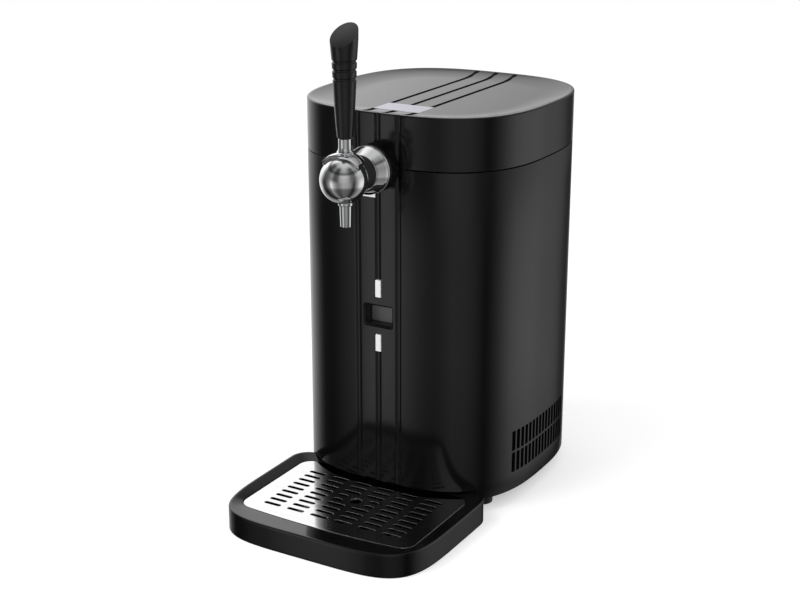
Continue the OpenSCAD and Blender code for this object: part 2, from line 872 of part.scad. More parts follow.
module spout() {
    spout_top = seam_z - 21.3;
    lip_h = 3.4;
    centred() color(chrome) turned_z([
        [4, spout_top - lip_h - spout_len], [5.3, spout_top - lip_h - spout_len], [5.9, spout_top - lip_h],
        [6.9, spout_top - lip_h], [7.2, spout_top - lip_h + 0.8], [7.2, spout_top - 0.6], [6.6, spout_top],
        [6, spout_top], [6, spout_top + 6], [4, spout_top + 6]
    ], spout_y);
}

module line_connector() {
    centred() color([0.2, 0.2, 0.21]) difference() {
        union() {
            rod_y(8, front_y + 18.7, front_y + 27);
            rod_y(6.3, front_y + 26, front_y + 34.5);
        }
        rod_y(6.05, front_y + 17, front_y + 26.6);
        rod_y(4.8, front_y + 26, front_y + 36);
    }
}

// ---- display and keys ----

module display_bezel() {
    centred() color(black) difference() {
        box(-window_w / 2 - 2.5, window_w / 2 + 2.5, front_y + wall + 0.4, front_y + window_depth,
            window_z - window_h / 2 - 2.5, window_z + window_h / 2 + 2.5);
        box(-window_w / 2, window_w / 2, front_y + 1, front_y + window_depth + 1,
            window_z - window_h / 2, window_z + window_h / 2);
    }
}

module display_lens() {
    centred() color([0.07, 0.07, 0.08])
        box(-window_w / 2 - 2, window_w / 2 + 2, front_y + window_depth + eps, front_y + window_depth + 2,
            window_z - window_h / 2 - 2, window_z + window_h / 2 + 2);
}

module display_module() {
    centred() color([0.12, 0.12, 0.13])
        box(-window_w / 2 - 1, window_w / 2 + 1, front_y + window_depth + 2.1, front_y + window_depth + 6,
            window_z - window_h / 2 - 1, window_z + window_h / 2 + 1);
}

module control_board() {
    centred() color(board_green) difference() {
        box(-22, 22, board_y, board_y + 1.6, 146, 256);
        for (p = board_spots)
            rod_y(1.6, board_y - 1, board_y + 3, p[1], p[0]);
    }
}

module board_screws() {
    centred() color(steel) for (p = board_spots) {
        rod_y(2.6, board_y + 1.6, board_y + 3.2, p[1], p[0]);
        rod_y(1.15, board_y - 8, board_y + 2, p[1], p[0]);
    }
}

module key_switches() {
    centred() color([0.15, 0.15, 0.15]) for (z = key_z) {
        box(-3, 3, board_y - 3.6, board_y, z - 3, z + 3);
        rod_y(1.7, board_y - 4.8, board_y - 3, z);
    }
}

module key(z) {
    color(white) union() {
        box(-key_w / 2, key_w / 2, front_y - key_proud, front_y + 4, z - key_h / 2, z + key_h / 2);
        box(-key_w / 2 - 1.6, key_w / 2 + 1.6, front_y + wall + 0.15, front_y + wall + 1.6,
            z - key_h / 2 - 1.6, z + key_h / 2 + 1.6);
        box(-2, 2, front_y + 4, board_y - 4.9 - key_travel, z - 2, z + 2);
    }
}

module key_up() {
    centred() key(key_z[1]);
}

module key_down() {
    centred() key(key_z[0]);
}

// ---- drip tray ----

module grid_prism(e, z0, z1) {
    translate([0, 0, z0]) linear_extrude(z1 - z0) polygon(grid_plan(e));
}

module drip_tray() {
    centred() color(gloss_black) difference() {
        union() {
            linear_extrude(tray_h) polygon(tray_plan(0));
            for (x = tongue_x)
                box(x - 8, x + 8, tray_rear - 1, tray_rear + 10, tongue_z, tongue_z + 4);
        }
        hull() {
            translate([0, 0, tray_h]) linear_extrude(1) polygon(tray_plan(2));
            grid_prism(-0.7, grid_z, grid_z + 0.2);
        }
        grid_prism(-0.7, grid_z - 1.05, grid_z + 1);
        grid_prism(4, 3, grid_z);
    }
}

grid_columns = 6;
grid_rows = 9;
column_pitch = 27;
row_pitch = 10.2;
first_row_y = -217;
slot_len = 18.5;
slot_w = 3;
hole_y = first_row_y + 4.5 * row_pitch;
hole_r = 6;
near_slot_x = 12.5;

module slot(x0, x1, y) {
    r = slot_w / 2;
    box(x0 + r, x1 - r, y - r, y + r, grid_z - 3, grid_z + 1);
    for (x = [x0 + r, x1 - r])
        post(x, y, r, grid_z - 3, grid_z + 1);
}

module drip_grid() {
    centred() color(steel) difference() {
        union() {
            grid_prism(0, grid_z - 1, grid_z);
            post(0, hole_y, hole_r + 1.2, grid_z - 2.6, grid_z);
        }
        post(0, hole_y, hole_r, grid_z - 4, grid_z + 1);
        for (i = [0:grid_columns - 1], j = [0:grid_rows - 1]) {
            x = (i - (grid_columns - 1) / 2) * column_pitch;
            y = first_row_y + j * row_pitch;
            near = norm([x, y - hole_y]) < column_pitch / 1.8;
            x_out = abs(x) + slot_len / 2;
            if (near)
                slot(x > 0 ? near_slot_x : -x_out, x > 0 ? x_out : -near_slot_x, y);
            else
                slot(x - slot_len / 2, x + slot_len / 2, y);
        }
    }
}

casing();
base_pan();
rubber_feet();
foot_screws();
base_screws();
insulation();
keg_well();
deck_ring();
deck_screws();
lid_shell();
lid_foam();
lid_liner();
lid_gasket();
name_plate();
hinge_lower_leaf();
hinge_upper_leaf();
hinge_pin();
hinge_lower_screws();
hinge_upper_screws();
tap_escutcheon();
tap_bracket();
tap_nut();
tap_shank();
tap_collar();
collar_tab();
tap_seals();
tap_ball();
lever_pin();
tap_lever();
lever_screw();
handle_stud();
tap_handle();
valve_plunger();
spout();
line_connector();
display_bezel();
display_lens();
display_module();
control_board();
board_screws();
key_switches();
key_up();
key_down();
drip_tray();
drip_grid();
cold_plate();
peltier_module();
heatsink();
heatsink_screws();
fan_frame();
fan_shaft();
fan_rotor();
fan_screws();
power_board();
power_inlet();
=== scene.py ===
import json
import math

import bmesh
import bpy
import numpy as np
from mathutils import Matrix, Vector


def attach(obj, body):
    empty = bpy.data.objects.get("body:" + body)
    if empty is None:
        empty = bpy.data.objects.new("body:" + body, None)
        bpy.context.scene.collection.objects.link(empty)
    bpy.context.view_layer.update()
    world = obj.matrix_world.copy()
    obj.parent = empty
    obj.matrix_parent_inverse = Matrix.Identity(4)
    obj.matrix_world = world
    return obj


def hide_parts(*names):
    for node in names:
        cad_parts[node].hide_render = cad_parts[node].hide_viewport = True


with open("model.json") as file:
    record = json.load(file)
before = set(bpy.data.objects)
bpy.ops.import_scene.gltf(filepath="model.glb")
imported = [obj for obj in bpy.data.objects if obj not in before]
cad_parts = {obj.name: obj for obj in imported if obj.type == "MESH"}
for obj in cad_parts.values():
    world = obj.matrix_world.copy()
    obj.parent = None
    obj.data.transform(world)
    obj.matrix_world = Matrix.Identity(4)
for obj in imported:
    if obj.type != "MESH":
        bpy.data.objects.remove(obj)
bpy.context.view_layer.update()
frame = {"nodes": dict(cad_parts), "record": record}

# Looks of a countertop mini keg beer dispenser. Lengths are millimetres about the body's own
# upright axis, front towards -Y; at() turns them into the frame's metres.
MM = 0.001
BODY_SHIFT = 64.75

# The body is a superellipse in plan. A seam parts its casing from its lid.
HALF_W, HALF_D, POWER = 121.0, 126.5, 2.85
WALL = 3.0
CASING_BOTTOM, SEAM_Z, SEAM_GAP, LID_Z = 15.0, 350.0, 0.45, 401.2
GROOVE_X = (-22.5, 0.0, 22.5)
MIDDLE_GROOVE = 1

# The lid's top is a dish behind a round rim. The name plate lies in the dish.
DISH_Z, RIM_R, RIM_INSET, FLOOR_INSET = 397.4, 1.4, 3.0, 36.0
PLATE_W, PLATE_L, PLATE_Y, PLATE_GAP = 50.0, 30.6, -76.7, 0.2

# Two rows of vents in both sides and in the back.
VENT_LOW, VENT_W, VENT_H, VENT_GAP, VENT_PITCH = 34.3, 5.3, 21.2, 2.2, 7.4
SIDE_VENTS, SIDE_VENT_Y = 16, -57.5
BACK_VENTS, BACK_VENT_X = 6, 26.0
INLET_W, INLET_H, INLET_Z = 22.4, 17.0, 46.5

# The display's window, with a key above and below it.
WINDOW_W, WINDOW_H, WINDOW_Z, WINDOW_DEPTH, WINDOW_RIM = 31.0, 21.0, 201.0, 15.0, 1.3
KEY_W, KEY_H, KEY_OFFSET, KEY_PROUD, KEY_GAP = 7.4, 18.8, 27.8, 0.6, 0.8

# The tap's axis lies at the seam. Ring and collar stand this far before the body.
TAP_Y, TAP_BORE, TAP_HOLE_R = -186.0, 9.1, 20.4
RING_END, COLLAR_START, COLLAR_END = 14.9, 15.0, 30.0
BALL_R, CAP_R, CAP_HALF, LEVER_GAP = 22.4, 26.0, 19.3, 0.35
STEM_Y = SPOUT_Y = TAP_Y + 3
HANDLE_Z, HANDLE_TOP_Z, HANDLE_SLANT = 388.0, 480.5, 37.2

# The tray is half a superellipse in front of its middle, with two round corners behind.
TRAY_HALF_W, TRAY_FRONT, TRAY_REAR, TRAY_MID, TRAY_H = 111.75, -265.0, -98.0, -145.0, 24.5
TRAY_CORNER, TRAY_POWER = 20.0, 4.9
TRAY_CENTRE = (0.0, -172.0)
LUG_X, LUG_HALF = 60, 8
GRID_HALF_W, GRID_FRONT, GRID_REAR, GRID_CORNER, GRID_Z = 96.25, -239.0, -112.0, 14.0, 21.5

# The plate's slots and its finger hole.
SLOT_COLUMNS, SLOT_ROWS, SLOT_L, SLOT_W = 6, 9, 19.0, 4.4
COLUMN_PITCH, ROW_PITCH, FIRST_ROW_Y = 27.0, 10.2, -217.0
FINGER_Y, FINGER_R, FINGER_CLEAR = FIRST_ROW_Y + 4.5 * ROW_PITCH, 6.0, 12.5

FOOT_X, FOOT_Y = 88, 68


def at(x, y, z):
    """A point in millimetres about the body's axis, as metres in the frame."""
    return Vector((x, y + BODY_SHIFT, z)) * MM


# ---- nodes

def feed(tree, socket, value):
    """Links another node's output to a socket, or sets it to a plain value."""
    if isinstance(value, bpy.types.NodeSocket):
        tree.links.new(value, socket)
    else:
        socket.default_value = value


def node(tree, kind, *values, **inputs):
    """A new shader node, fed in the order of its inputs or by their names, with _ for a space."""
    made = tree.nodes.new("ShaderNode" + kind)
    for socket, value in zip(made.inputs, values):
        feed(tree, socket, value)
    for name, value in inputs.items():
        feed(tree, made.inputs[name.replace("_", " ")], value)
    return made


def reckon(tree, operation, *values):
    """The result of a sum over sockets and numbers."""
    made = node(tree, "Math", *values)
    made.operation = operation
    return made.outputs[0]


def bare_tree(owner):
    """The node tree of a material or world, with nothing in it."""
    owner.use_nodes = True
    owner.node_tree.nodes.clear()
    return owner.node_tree


# ---- materials

def noise(tree, coords, scale, detail, stretch):
    """Noise over the piece's own coordinates, stretched along its axes."""
    placed = node(tree, "Mapping", Scale=stretch, Vector=coords).outputs["Vector"]
    return node(tree, "TexNoise", Scale=scale, Detail=detail, Vector=placed).outputs["Fac"]


def ranged(tree, value, low, high):
    """The value, mostly 0.3 to 0.7, spread over low to high."""
    return node(tree, "MapRange", value, 0.3, 0.7, low, high).outputs["Result"]


def material(name, colour, rough, metallic=0.0, tint=0.12, patch=35.0, grain=1500.0,
             bump=0.05, bump_mm=0.01, stretch=(1, 1, 1)):
    """A moulded, cast or brushed finish: rough is its range, tint how far its colour wanders,
    patch and grain the scales of its wide and fine noise, stretch the direction of both."""
    made = bpy.data.materials.new(name)
    made.use_nodes = True
    tree = made.node_tree
    coords = node(tree, "TexCoord").outputs["Object"]
    ramp = node(tree, "ValToRGB", Fac=noise(tree, coords, patch, 4.0, stretch))
    for element, place, change in zip(ramp.color_ramp.elements, (0.3, 0.7), (1 - tint, 1 + tint)):
        element.position = place
        element.color = [min(1.0, c * change) for c in colour] + [1.0]
    wear = noise(tree, coords, patch * 2.3, 6.0, stretch)
    relief = node(tree, "Bump", Strength=bump, Distance=bump_mm * MM,
                  Height=noise(tree, coords, grain, 2.0, stretch))
    shader = tree.nodes["Principled BSDF"]
    for socket, value in (("Base Color", ramp.outputs["Color"]), ("Metallic", metallic),
                          ("Roughness", ranged(tree, wear, *rough)), ("Normal", relief.outputs["Normal"])):
        feed(tree, shader.inputs[socket], value)
    return made


# One finish for each slot.
MATERIALS = {
    "body_plastic": material(
        "body_black", (0.0032, 0.0032, 0.0034), (0.12, 0.16), patch=14, grain=420, bump=0.04, bump_mm=0.02),
    "gloss_black": material(
        "gloss_black", (0.003, 0.003, 0.0032), (0.05, 0.1), patch=16, grain=500, bump=0.03, bump_mm=0.02),
    "inner_plastic": material(
        "inner_black", (0.016, 0.016, 0.017), (0.4, 0.55), grain=2600, bump=0.25, bump_mm=0.03),
    "handle_black": material(
        "handle_black", (0.006, 0.006, 0.0062), (0.22, 0.3), grain=1800, bump=0.12, bump_mm=0.02),
    "liner_grey": material(
        "liner_grey", (0.62, 0.63, 0.64), (0.35, 0.45), tint=0.03, grain=2200, bump=0.15, bump_mm=0.02),
    "key_white": material(
        "key_white", (0.86, 0.86, 0.865), (0.28, 0.36), tint=0.02, grain=2000, bump=0.08, bump_mm=0.015),
    "screen_grey": material(
        "screen_grey", (0.16, 0.162, 0.165), (0.45, 0.55), tint=0.08, grain=2500, bump=0.1),
    "ceramic_white": material(
        "ceramic_white", (0.8, 0.8, 0.78), (0.5, 0.6), tint=0.03, grain=3000, bump=0.2, bump_mm=0.02),
    "foam": material(
        "foam_cream", (0.78, 0.75, 0.62), (0.85, 0.95), tint=0.08, patch=60, grain=700, bump=0.7,
        bump_mm=0.5),
    "rubber": material(
        "rubber_black", (0.012, 0.012, 0.012), (0.45, 0.6), grain=1800, bump=0.3, bump_mm=0.03),
    "chrome": material(
        "chrome", (0.86, 0.865, 0.875), (0.025, 0.06), metallic=1.0, tint=0.015, patch=30, grain=900,
        bump=0.02),
    "steel": material(
        "steel", (0.6, 0.6, 0.61), (0.22, 0.34), metallic=1.0, tint=0.06, patch=90, grain=2400, bump=0.15),
    "mirror_steel": material(
        "mirror_steel", (0.74, 0.74, 0.745), (0.07, 0.12), metallic=1.0, tint=0.03, patch=10, grain=600,
        bump=0.03, stretch=(1, 14, 14)),
    "aluminium": material(
        "aluminium", (0.72, 0.725, 0.73), (0.25, 0.36), metallic=1.0, tint=0.04, patch=25, grain=900,
        bump=0.12, bump_mm=0.02, stretch=(1, 1, 22)),
    "plate_silver": material(
        "plate_silver", (0.6, 0.585, 0.66), (0.3, 0.38), metallic=0.85, tint=0.03, patch=50, grain=1600,
        bump=0.1, stretch=(1, 12, 12)),
    "board": material(
        "board_green", (0.02, 0.13, 0.05), (0.35, 0.5), tint=0.25, patch=420, grain=1200, bump=0.3,
        bump_mm=0.05),
}


# ---- meshes

def linked(name, data):
    """A new object of the data, in the scene."""
    made = bpy.data.objects.new(name, data)
    bpy.context.scene.collection.objects.link(made)
    return made


def smooth(obj, sharp):
    """Shades the object smooth apart from edges sharper than the given angle."""
    obj.data.shade_smooth()
    obj.data.set_sharp_from_angle(angle=math.radians(sharp))


def turn_outwards(mesh, merge=False):
    """Points the mesh's faces outwards, and first merges its double points where asked."""
    work = bmesh.new()
    work.from_mesh(mesh)
    if merge:
        bmesh.ops.remove_doubles(work, verts=work.verts, dist=1e-6)
    bmesh.ops.recalc_face_normals(work, faces=work.faces)
    work.to_mesh(mesh)
    work.free()


def mesh_object(name, verts, faces, sharp=50.0):
    """An object of millimetre vertices, smooth apart from its sharp edges."""
    mesh = bpy.data.meshes.new(name)
    mesh.from_pydata([at(*v) for v in verts], [], faces)
    turn_outwards(mesh)
    made = linked(name, mesh)
    smooth(made, sharp)
    return made


def joined(parts):
    """Several (vertices, faces) pairs as one."""
    verts, faces = [], []
    for part_verts, part_faces in parts:
        start = len(verts)
        verts += list(part_verts)
        faces += [[start + i for i in face] for face in part_faces]
    return verts, faces


def lofted(rings, ends="capped"):
    """Rings of as many points each, joined by quads. The ends are capped, open or joined."""
    count, total = len(rings[0]), len(rings[0]) * len(rings)
    verts = [p for ring in rings for p in ring]
    faces = []
    for j in range(len(rings) if ends == "joined" else len(rings) - 1):
        for k in range(count):
            n = (k + 1) % count
            corners = (j * count + k, j * count + n, (j + 1) * count + n, (j + 1) * count + k)
            faces.append([i % total for i in corners])
    if ends == "capped":
        faces += [list(range(count))[::-1], list(range(total - count, total))]
    return verts, faces


def circle(radius, steps, x=0.0, y=0.0):
    """A round outline about (x, y)."""
    angles = [2 * math.pi * k / steps for k in range(steps)]
    return [(x + radius * math.cos(a), y + radius * math.sin(a)) for a in angles]


def arc(x, y, radius, start, stop, steps=8):
    """Points about (x, y) from one angle to another, in degrees."""
    angles = [math.radians(start + (stop - start) * k / steps) for k in range(steps + 1)]
    return [(x + radius * math.cos(a), y + radius * math.sin(a)) for a in angles]


def superellipse(t, half_w, half_d, power):
    """The point at the angle t of an oval that is squarer the higher its power."""
    c, s = math.cos(t), math.sin(t)
    return (half_w * math.copysign(abs(c) ** (2 / power), c),
            half_d * math.copysign(abs(s) ** (2 / power), s))


def rounded(points, radius, steps=4, closed=True):
    """An outline with its corners turned into arcs. radius is one number or one per point."""
    count = len(points)
    radii = radius if isinstance(radius, (list, tuple)) else [radius] * count
    made = []
    for i, here in enumerate(points):
        p, a, b = Vector(here), Vector(points[i - 1]), Vector(points[(i + 1) % count])
        back, forth = a - p, b - p
        plain = radii[i] <= 0 or (not closed and i in (0, count - 1))
        turn = 0 if plain or min(back.length, forth.length) < 1e-6 else math.pi - back.angle(forth)
        if turn < 0.02:
            made.append(tuple(here))
            continue
        reach = min(radii[i] * math.tan(turn / 2), 0.48 * back.length, 0.48 * forth.length)
        start, end = p + back.normalized() * reach, p + forth.normalized() * reach
        for k in range(steps + 1):
            t = k / steps
            made.append(tuple(start * (1 - t) ** 2 + p * 2 * t * (1 - t) + end * t * t))
    return made


def rectangle(x, y, w, h, radius=0.7, steps=3):
    """A rectangle about (x, y) with round corners."""
    corners = [(x + i * w / 2, y + j * h / 2) for i, j in ((-1, -1), (1, -1), (1, 1), (-1, 1))]
    return rounded(corners, radius, steps)


def upright(x=0.0, y=0.0, z=0.0):
    """Lays an outline flat, with its depth upwards."""
    return lambda u, v, h: (x + u, y + v, z + h)


def along_y(x=0.0, z=0.0):
    """Turns an outline to the front, with its depth along Y."""
    return lambda u, v, h: (x + u, h, z + v)


def along_x(y=0.0, z=0.0):
    """Turns an outline to the side, with its depth along X."""
    return lambda u, v, h: (h, y + u, z + v)


def turned(profile, place, steps):
    """A profile of (radius, along) points turned once round."""
    rings = [[place(u, v, h) for u, v in (circle(r, steps) if r > 1e-6 else [(0, 0)])] for r, h in profile]
    verts, firsts, faces = [], [], []
    for ring in rings:
        firsts.append(len(verts))
        verts += ring
    pairs = [(j, j + 1) for j in range(len(rings) - 1)]
    if profile[0][0] > 1e-6 and profile[-1][0] > 1e-6:
        pairs.append((len(rings) - 1, 0))
    for low, high in pairs:
        for k in range(steps):
            n = (k + 1) % steps
            corners = [firsts[row] + (i if len(rings[row]) > 1 else 0)
                       for row, i in ((low, k), (low, n), (high, n), (high, k))]
            face = [c for j, c in enumerate(corners) if c not in corners[:j]]
            if len(face) > 2:
                faces.append(face)
    return verts, faces


def bar(radius, low, high, place, steps):
    """A plain round bar."""
    return turned([(0, low), (radius, low), (radius, high), (0, high)], place, steps)


def lathe(name, profile, place, steps=128, sharp=60.0):
    """An object turned from a profile."""
    return mesh_object(name, *turned(profile, place, steps), sharp)


def block(x0, x1, y0, y1, z0, z1):
    """A plain box."""
    corners = [(x, y, z) for z in (z0, z1) for x, y in ((x0, y0), (x1, y0), (x1, y1), (x0, y1))]
    return corners, [[3, 2, 1, 0], [4, 5, 6, 7], [0, 1, 5, 4], [1, 2, 6, 5], [2, 3, 7, 6], [3, 0, 4, 7]]


def prism(outline, low, high, place=upright()):
    """A plane outline given a depth."""
    return lofted([[place(u, v, h) for u, v in outline] for h in (low, high)])


def front_prism(outline, near, far):
    """An (x, z) outline between two depths behind the body's front."""
    return prism(outline, -HALF_D + near, -HALF_D + far, along_y())


def front_block(z, half_w, half_h, near, far):
    """A box about the height z between two depths behind the body's front."""
    return block(-half_w, half_w, -HALF_D + near, -HALF_D + far, z - half_h, z + half_h)


def final_mesh(obj):
    """The mesh that the object's curve or modifiers lead to."""
    bpy.context.view_layer.update()
    graph = bpy.context.evaluated_depsgraph_get()
    return bpy.data.meshes.new_from_object(obj.evaluated_get(graph))


def bake(obj):
    """Turns the object's modifiers into its mesh."""
    mesh = final_mesh(obj)
    obj.modifiers.clear()
    obj.data = mesh
    return obj


def combine(obj, parts, operation="DIFFERENCE"):
    """Cuts the parts out of the object, or keeps only what lies in them."""
    tool = mesh_object("cutter", *joined(parts))
    change = obj.modifiers.new("cut", "BOOLEAN")
    change.operation = operation
    change.solver = "EXACT"
    change.object = tool
    bake(obj)
    bpy.data.objects.remove(tool)


def bevel(obj, width, segments, angle):
    """A modifier that rounds the edges that are sharper than angle."""
    made = obj.modifiers.new("bevel", "BEVEL")
    made.width = width * MM
    made.segments = segments
    made.limit_method = "ANGLE"
    made.angle_limit = math.radians(angle)
    return made


def soften(obj, width, segments=3, angle=40.0, sharp=50.0):
    """Rounds the object's edges for good."""
    bevel(obj, width, segments, angle).miter_outer = "MITER_ARC"
    bake(obj)
    smooth(obj, sharp)


def weighted(obj):
    """Shades wide faces flat and lets the rounded edges take the turn."""
    shade = obj.modifiers.new("normals", "WEIGHTED_NORMAL")
    shade.mode = "FACE_AREA"
    shade.keep_sharp = True
    return bake(obj)


def piece(obj, body, slot, *nodes):
    """Gives a piece the material of its slot, puts it under its body and hides the CAD nodes it stands for.
    """
    obj.data.materials.clear()
    obj.data.materials.append(MATERIALS[slot])
    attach(obj, body)
    if nodes:
        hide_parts(*nodes)


# ---- body outline

# Half sections as (distance from the middle, depth) of a groove in the front, and, as a share of
# its depth, in the lid's top.
FRONT_GROOVE = [(0, 1.2), (0.6, 1.19), (0.9, 1.13), (1.05, 1.02), (1.2, 0.86), (1.4, 0.68), (1.7, 0.55),
                (2.2, 0.38), (2.8, 0.19), (3.3, 0.06), (3.7, 0.0)]
TOP_GROOVE = [(0, 1.0), (1.8, 1.0), (2.15, 0.95), (2.3, 0.75), (2.34, 0.4), (2.38, 0.12), (2.5, 0.0)]
# The wider start of the top's grooves, between the rim and the name plate.
NOTCH = [(0, 1.0), (2.9, 1.0), (3.15, 0.9), (3.25, 0.5), (3.3, 0.1), (3.4, 0.0)]
NOTCH_END = 33.0
# Lines between and beside the grooves, up to where the sides start.
CENTRE_X = 27.5
PLAIN_X = (5.6, 8.0, 11.25, 14.5, 16.9, CENTRE_X)


def centre_lines():
    """The lines of fixed x in the middle of front and back: (x, the groove's depth in the front,
    its share in the top, its share in the notch, its number)."""
    across = sorted({abs(u) for u, d in FRONT_GROOVE + TOP_GROOVE + NOTCH})
    front, top, notch = [np.interp(across, *zip(*section)).tolist()
                         for section in (FRONT_GROOVE, TOP_GROOVE, NOTCH)]
    rows = [(side * x, 0.0, 0.0, 0.0, -1) for side in (-1, 1) for x in PLAIN_X]
    for number, x in enumerate(GROOVE_X):
        for u, f, t, w in zip(across, front, top, notch):
            rows += [(x + side * u, f, t, w, number) for side in ((-1, 1) if u else (1,))]
    return sorted(rows)


def half_depth(x, inset):
    """The outline's y at x, with the outline drawn in by inset."""
    share = min(1.0, abs(x) / (HALF_W - inset))
    return (HALF_D - inset) * (1 - share ** POWER) ** (1 / POWER)


def side_angle(inset):
    """The angle at which the sides meet the middle of front and back."""
    return math.acos((CENTRE_X / (HALF_W - inset)) ** (POWER / 2))


def side_samples():
    """Angles round the right side, closer together where the outline turns."""
    longest, sharpest, fine_steps = 4.0, math.radians(2.2), 6000
    end = side_angle(0)
    fine = [-end + 2 * end * k / fine_steps for k in range(fine_steps + 1)]
    points = [superellipse(t, HALF_W, HALF_D, POWER) for t in fine]
    cost, heading = [0.0], None
    for a, b in zip(points, points[1:]):
        direction = math.atan2(b[1] - a[1], b[0] - a[0])
        turn = 0 if heading is None else abs(direction - heading)
        heading = direction
        cost.append(cost[-1] + math.dist(a, b) / longest + min(turn, 0.3) / sharpest)
    wanted = np.linspace(0, cost[-1], round(cost[-1]) + 1)[1:-1]
    return list(np.interp(wanted, cost, fine))


LINES, SIDES = centre_lines(), side_samples()


def ring(inset, z, groove_in=0.0, groove_down=0.0, back_down=0.0, skip=None):
    """The body's outline at one level: front, right side, back, left side. groove_in is the share
    of the front's grooves, groove_down and back_down the depth of the top's; skip drops one."""
    front, back = [], []
    for x, depth, share, notch, number in LINES:
        depth = 0.0 if number == skip else depth
        y = half_depth(x, inset)
        down = (notch if inset < NOTCH_END else share) * groove_down
        front.append((x, -y + depth * groove_in, z - down))
        back.append((x, y, z - share * back_down))
    scale = side_angle(inset) / side_angle(0)
    right = [superellipse(t * scale, HALF_W - inset, HALF_D - inset, POWER) + (z,) for t in SIDES]
    left = [(-x, y, h) for x, y, h in reversed(right)]
    return front + right + back[::-1] + left


def cap_faces(first):
    """Closes a ring: strips between its front and back lines, and one face at each side."""
    f, s = len(LINES), len(SIDES)
    back = [first + f + s + (f - 1 - k) for k in range(f)]
    strips = [[first + k, first + k + 1, back[k + 1], back[k]] for k in range(f - 1)]
    right = [first + f - 1] + [first + f + k for k in range(s)] + [back[f - 1]]
    left = [first + 2 * f + s + k for k in range(s)] + [first, back[0]]
    return strips + [right, left]


def outline_normals(skip=None):
    """The points of the body's outline, and its normals there."""
    points = np.array([p[:2] for p in ring(0, 0, groove_in=1.0, skip=skip)])
    tangent = np.roll(points, -1, 0) - np.roll(points, 1, 0)
    normals = np.stack([tangent[:, 1], -tangent[:, 0]], 1)
    return points, normals / np.linalg.norm(normals, axis=1)[:, None]


def normal_near(place, points, normals):
    """The outline's normal at a place, or None where the place lies off it."""
    nearest, found = 0.03, None
    j = int(np.argmin(np.linalg.norm(points - place, axis=1)))
    for a, b in (((j - 1) % len(points), j), (j, (j + 1) % len(points))):
        edge = points[b] - points[a]
        t = float(np.clip(np.dot(place - points[a], edge) / np.dot(edge, edge), 0, 1))
        off = np.linalg.norm(points[a] + t * edge - place)
        if off < nearest:
            nearest, found = off, normals[a] * (1 - t) + normals[b] * t
    return found


def wall_shading(obj, low, high, skip=None, skip_range=(0, 0)):
    """Takes the outer wall's normals between two heights from the outline, so that no cut-out
    leaves a trace in its reflections. The groove skip is missing in skip_range."""
    whole, part = outline_normals(), outline_normals(skip)
    mesh = obj.data
    place = np.zeros(len(mesh.vertices) * 3)
    mesh.vertices.foreach_get("co", place)
    place = place.reshape(-1, 3) / MM - (0, BODY_SHIFT, 0)
    wanted = np.zeros((len(place), 3))
    for i in np.where((place[:, 2] > low) & (place[:, 2] < high))[0]:
        inside = skip_range[0] < place[i, 2] < skip_range[1]
        found = normal_near(place[i, :2], *(part if inside else whole))
        if found is not None:
            wanted[i, :2] = found / np.linalg.norm(found)
    current = np.zeros(len(mesh.loops) * 3)
    mesh.corner_normals.foreach_get("vector", current)
    current = current.reshape(-1, 3)
    for face in mesh.polygons:
        flat = np.array(face.normal)
        for corner in face.loop_indices:
            target = wanted[mesh.loops[corner].vertex_index]
            if target @ flat > 0.3:
                current[corner] = target
    mesh.normals_split_custom_set([Vector(v) for v in current])


# ---- casing

def tray_plan(e, per_side=48):
    """The tray's plan, drawn in by e: a bowed front and two round rear corners."""
    front = []
    for i in range(per_side * 2 + 1):
        t = math.pi + math.pi * i / (per_side * 2)
        x, y = superellipse(t, TRAY_HALF_W - e, TRAY_MID - TRAY_FRONT - e, TRAY_POWER)
        front.append((x, TRAY_MID + y))
    rear = []
    for side, start in ((1, 0), (-1, 90)):
        rear += arc(side * (TRAY_HALF_W - TRAY_CORNER), TRAY_REAR - TRAY_CORNER, TRAY_CORNER - e,
                    start, start + 90)
    return front + rear


def window(grow, radius):
    """The display window's outline, grown on all sides."""
    return rectangle(0, WINDOW_Z, WINDOW_W + 2 * grow, WINDOW_H + 2 * grow, radius)


def tap_hole():
    """The tap's hole, half in the casing and half in the lid."""
    return front_prism(circle(TAP_HOLE_R, 96, 0, SEAM_Z), -2, 8)


def casing_cutters():
    """Everything that opens the casing's wall."""
    parts = []
    for row in (0, 1):
        z = VENT_LOW + VENT_H / 2 + row * (VENT_H + VENT_GAP)
        for side in (-1, 1):
            for i in range(SIDE_VENTS):
                vent = rectangle(SIDE_VENT_Y + VENT_PITCH * i, z, VENT_W, VENT_H)
                parts.append(prism(vent, side * (HALF_W - 14), side * (HALF_W + 2), along_x()))
            for i in range(BACK_VENTS):
                vent = rectangle(side * (BACK_VENT_X + VENT_PITCH * i), z, VENT_W, VENT_H)
                parts.append(prism(vent, HALF_D - 12, HALF_D + 2, along_y()))
    parts.append(front_prism(window(WINDOW_RIM, 3.0), -1, 6))
    for side in (-1, 1):
        key = rectangle(0, WINDOW_Z + side * KEY_OFFSET, KEY_W + 0.6, KEY_H + 0.6, 0.8)
        parts.append(front_prism(key, -1, 6))
    parts.append(tap_hole())
    parts.append(prism(tray_plan(-1), CASING_BOTTOM - 1, TRAY_H + 1))
    inlet = rectangle(0, INLET_Z, INLET_W, INLET_H, 0.6)
    parts.append(prism(inlet, HALF_D - 8, HALF_D + 2, along_y()))
    return parts


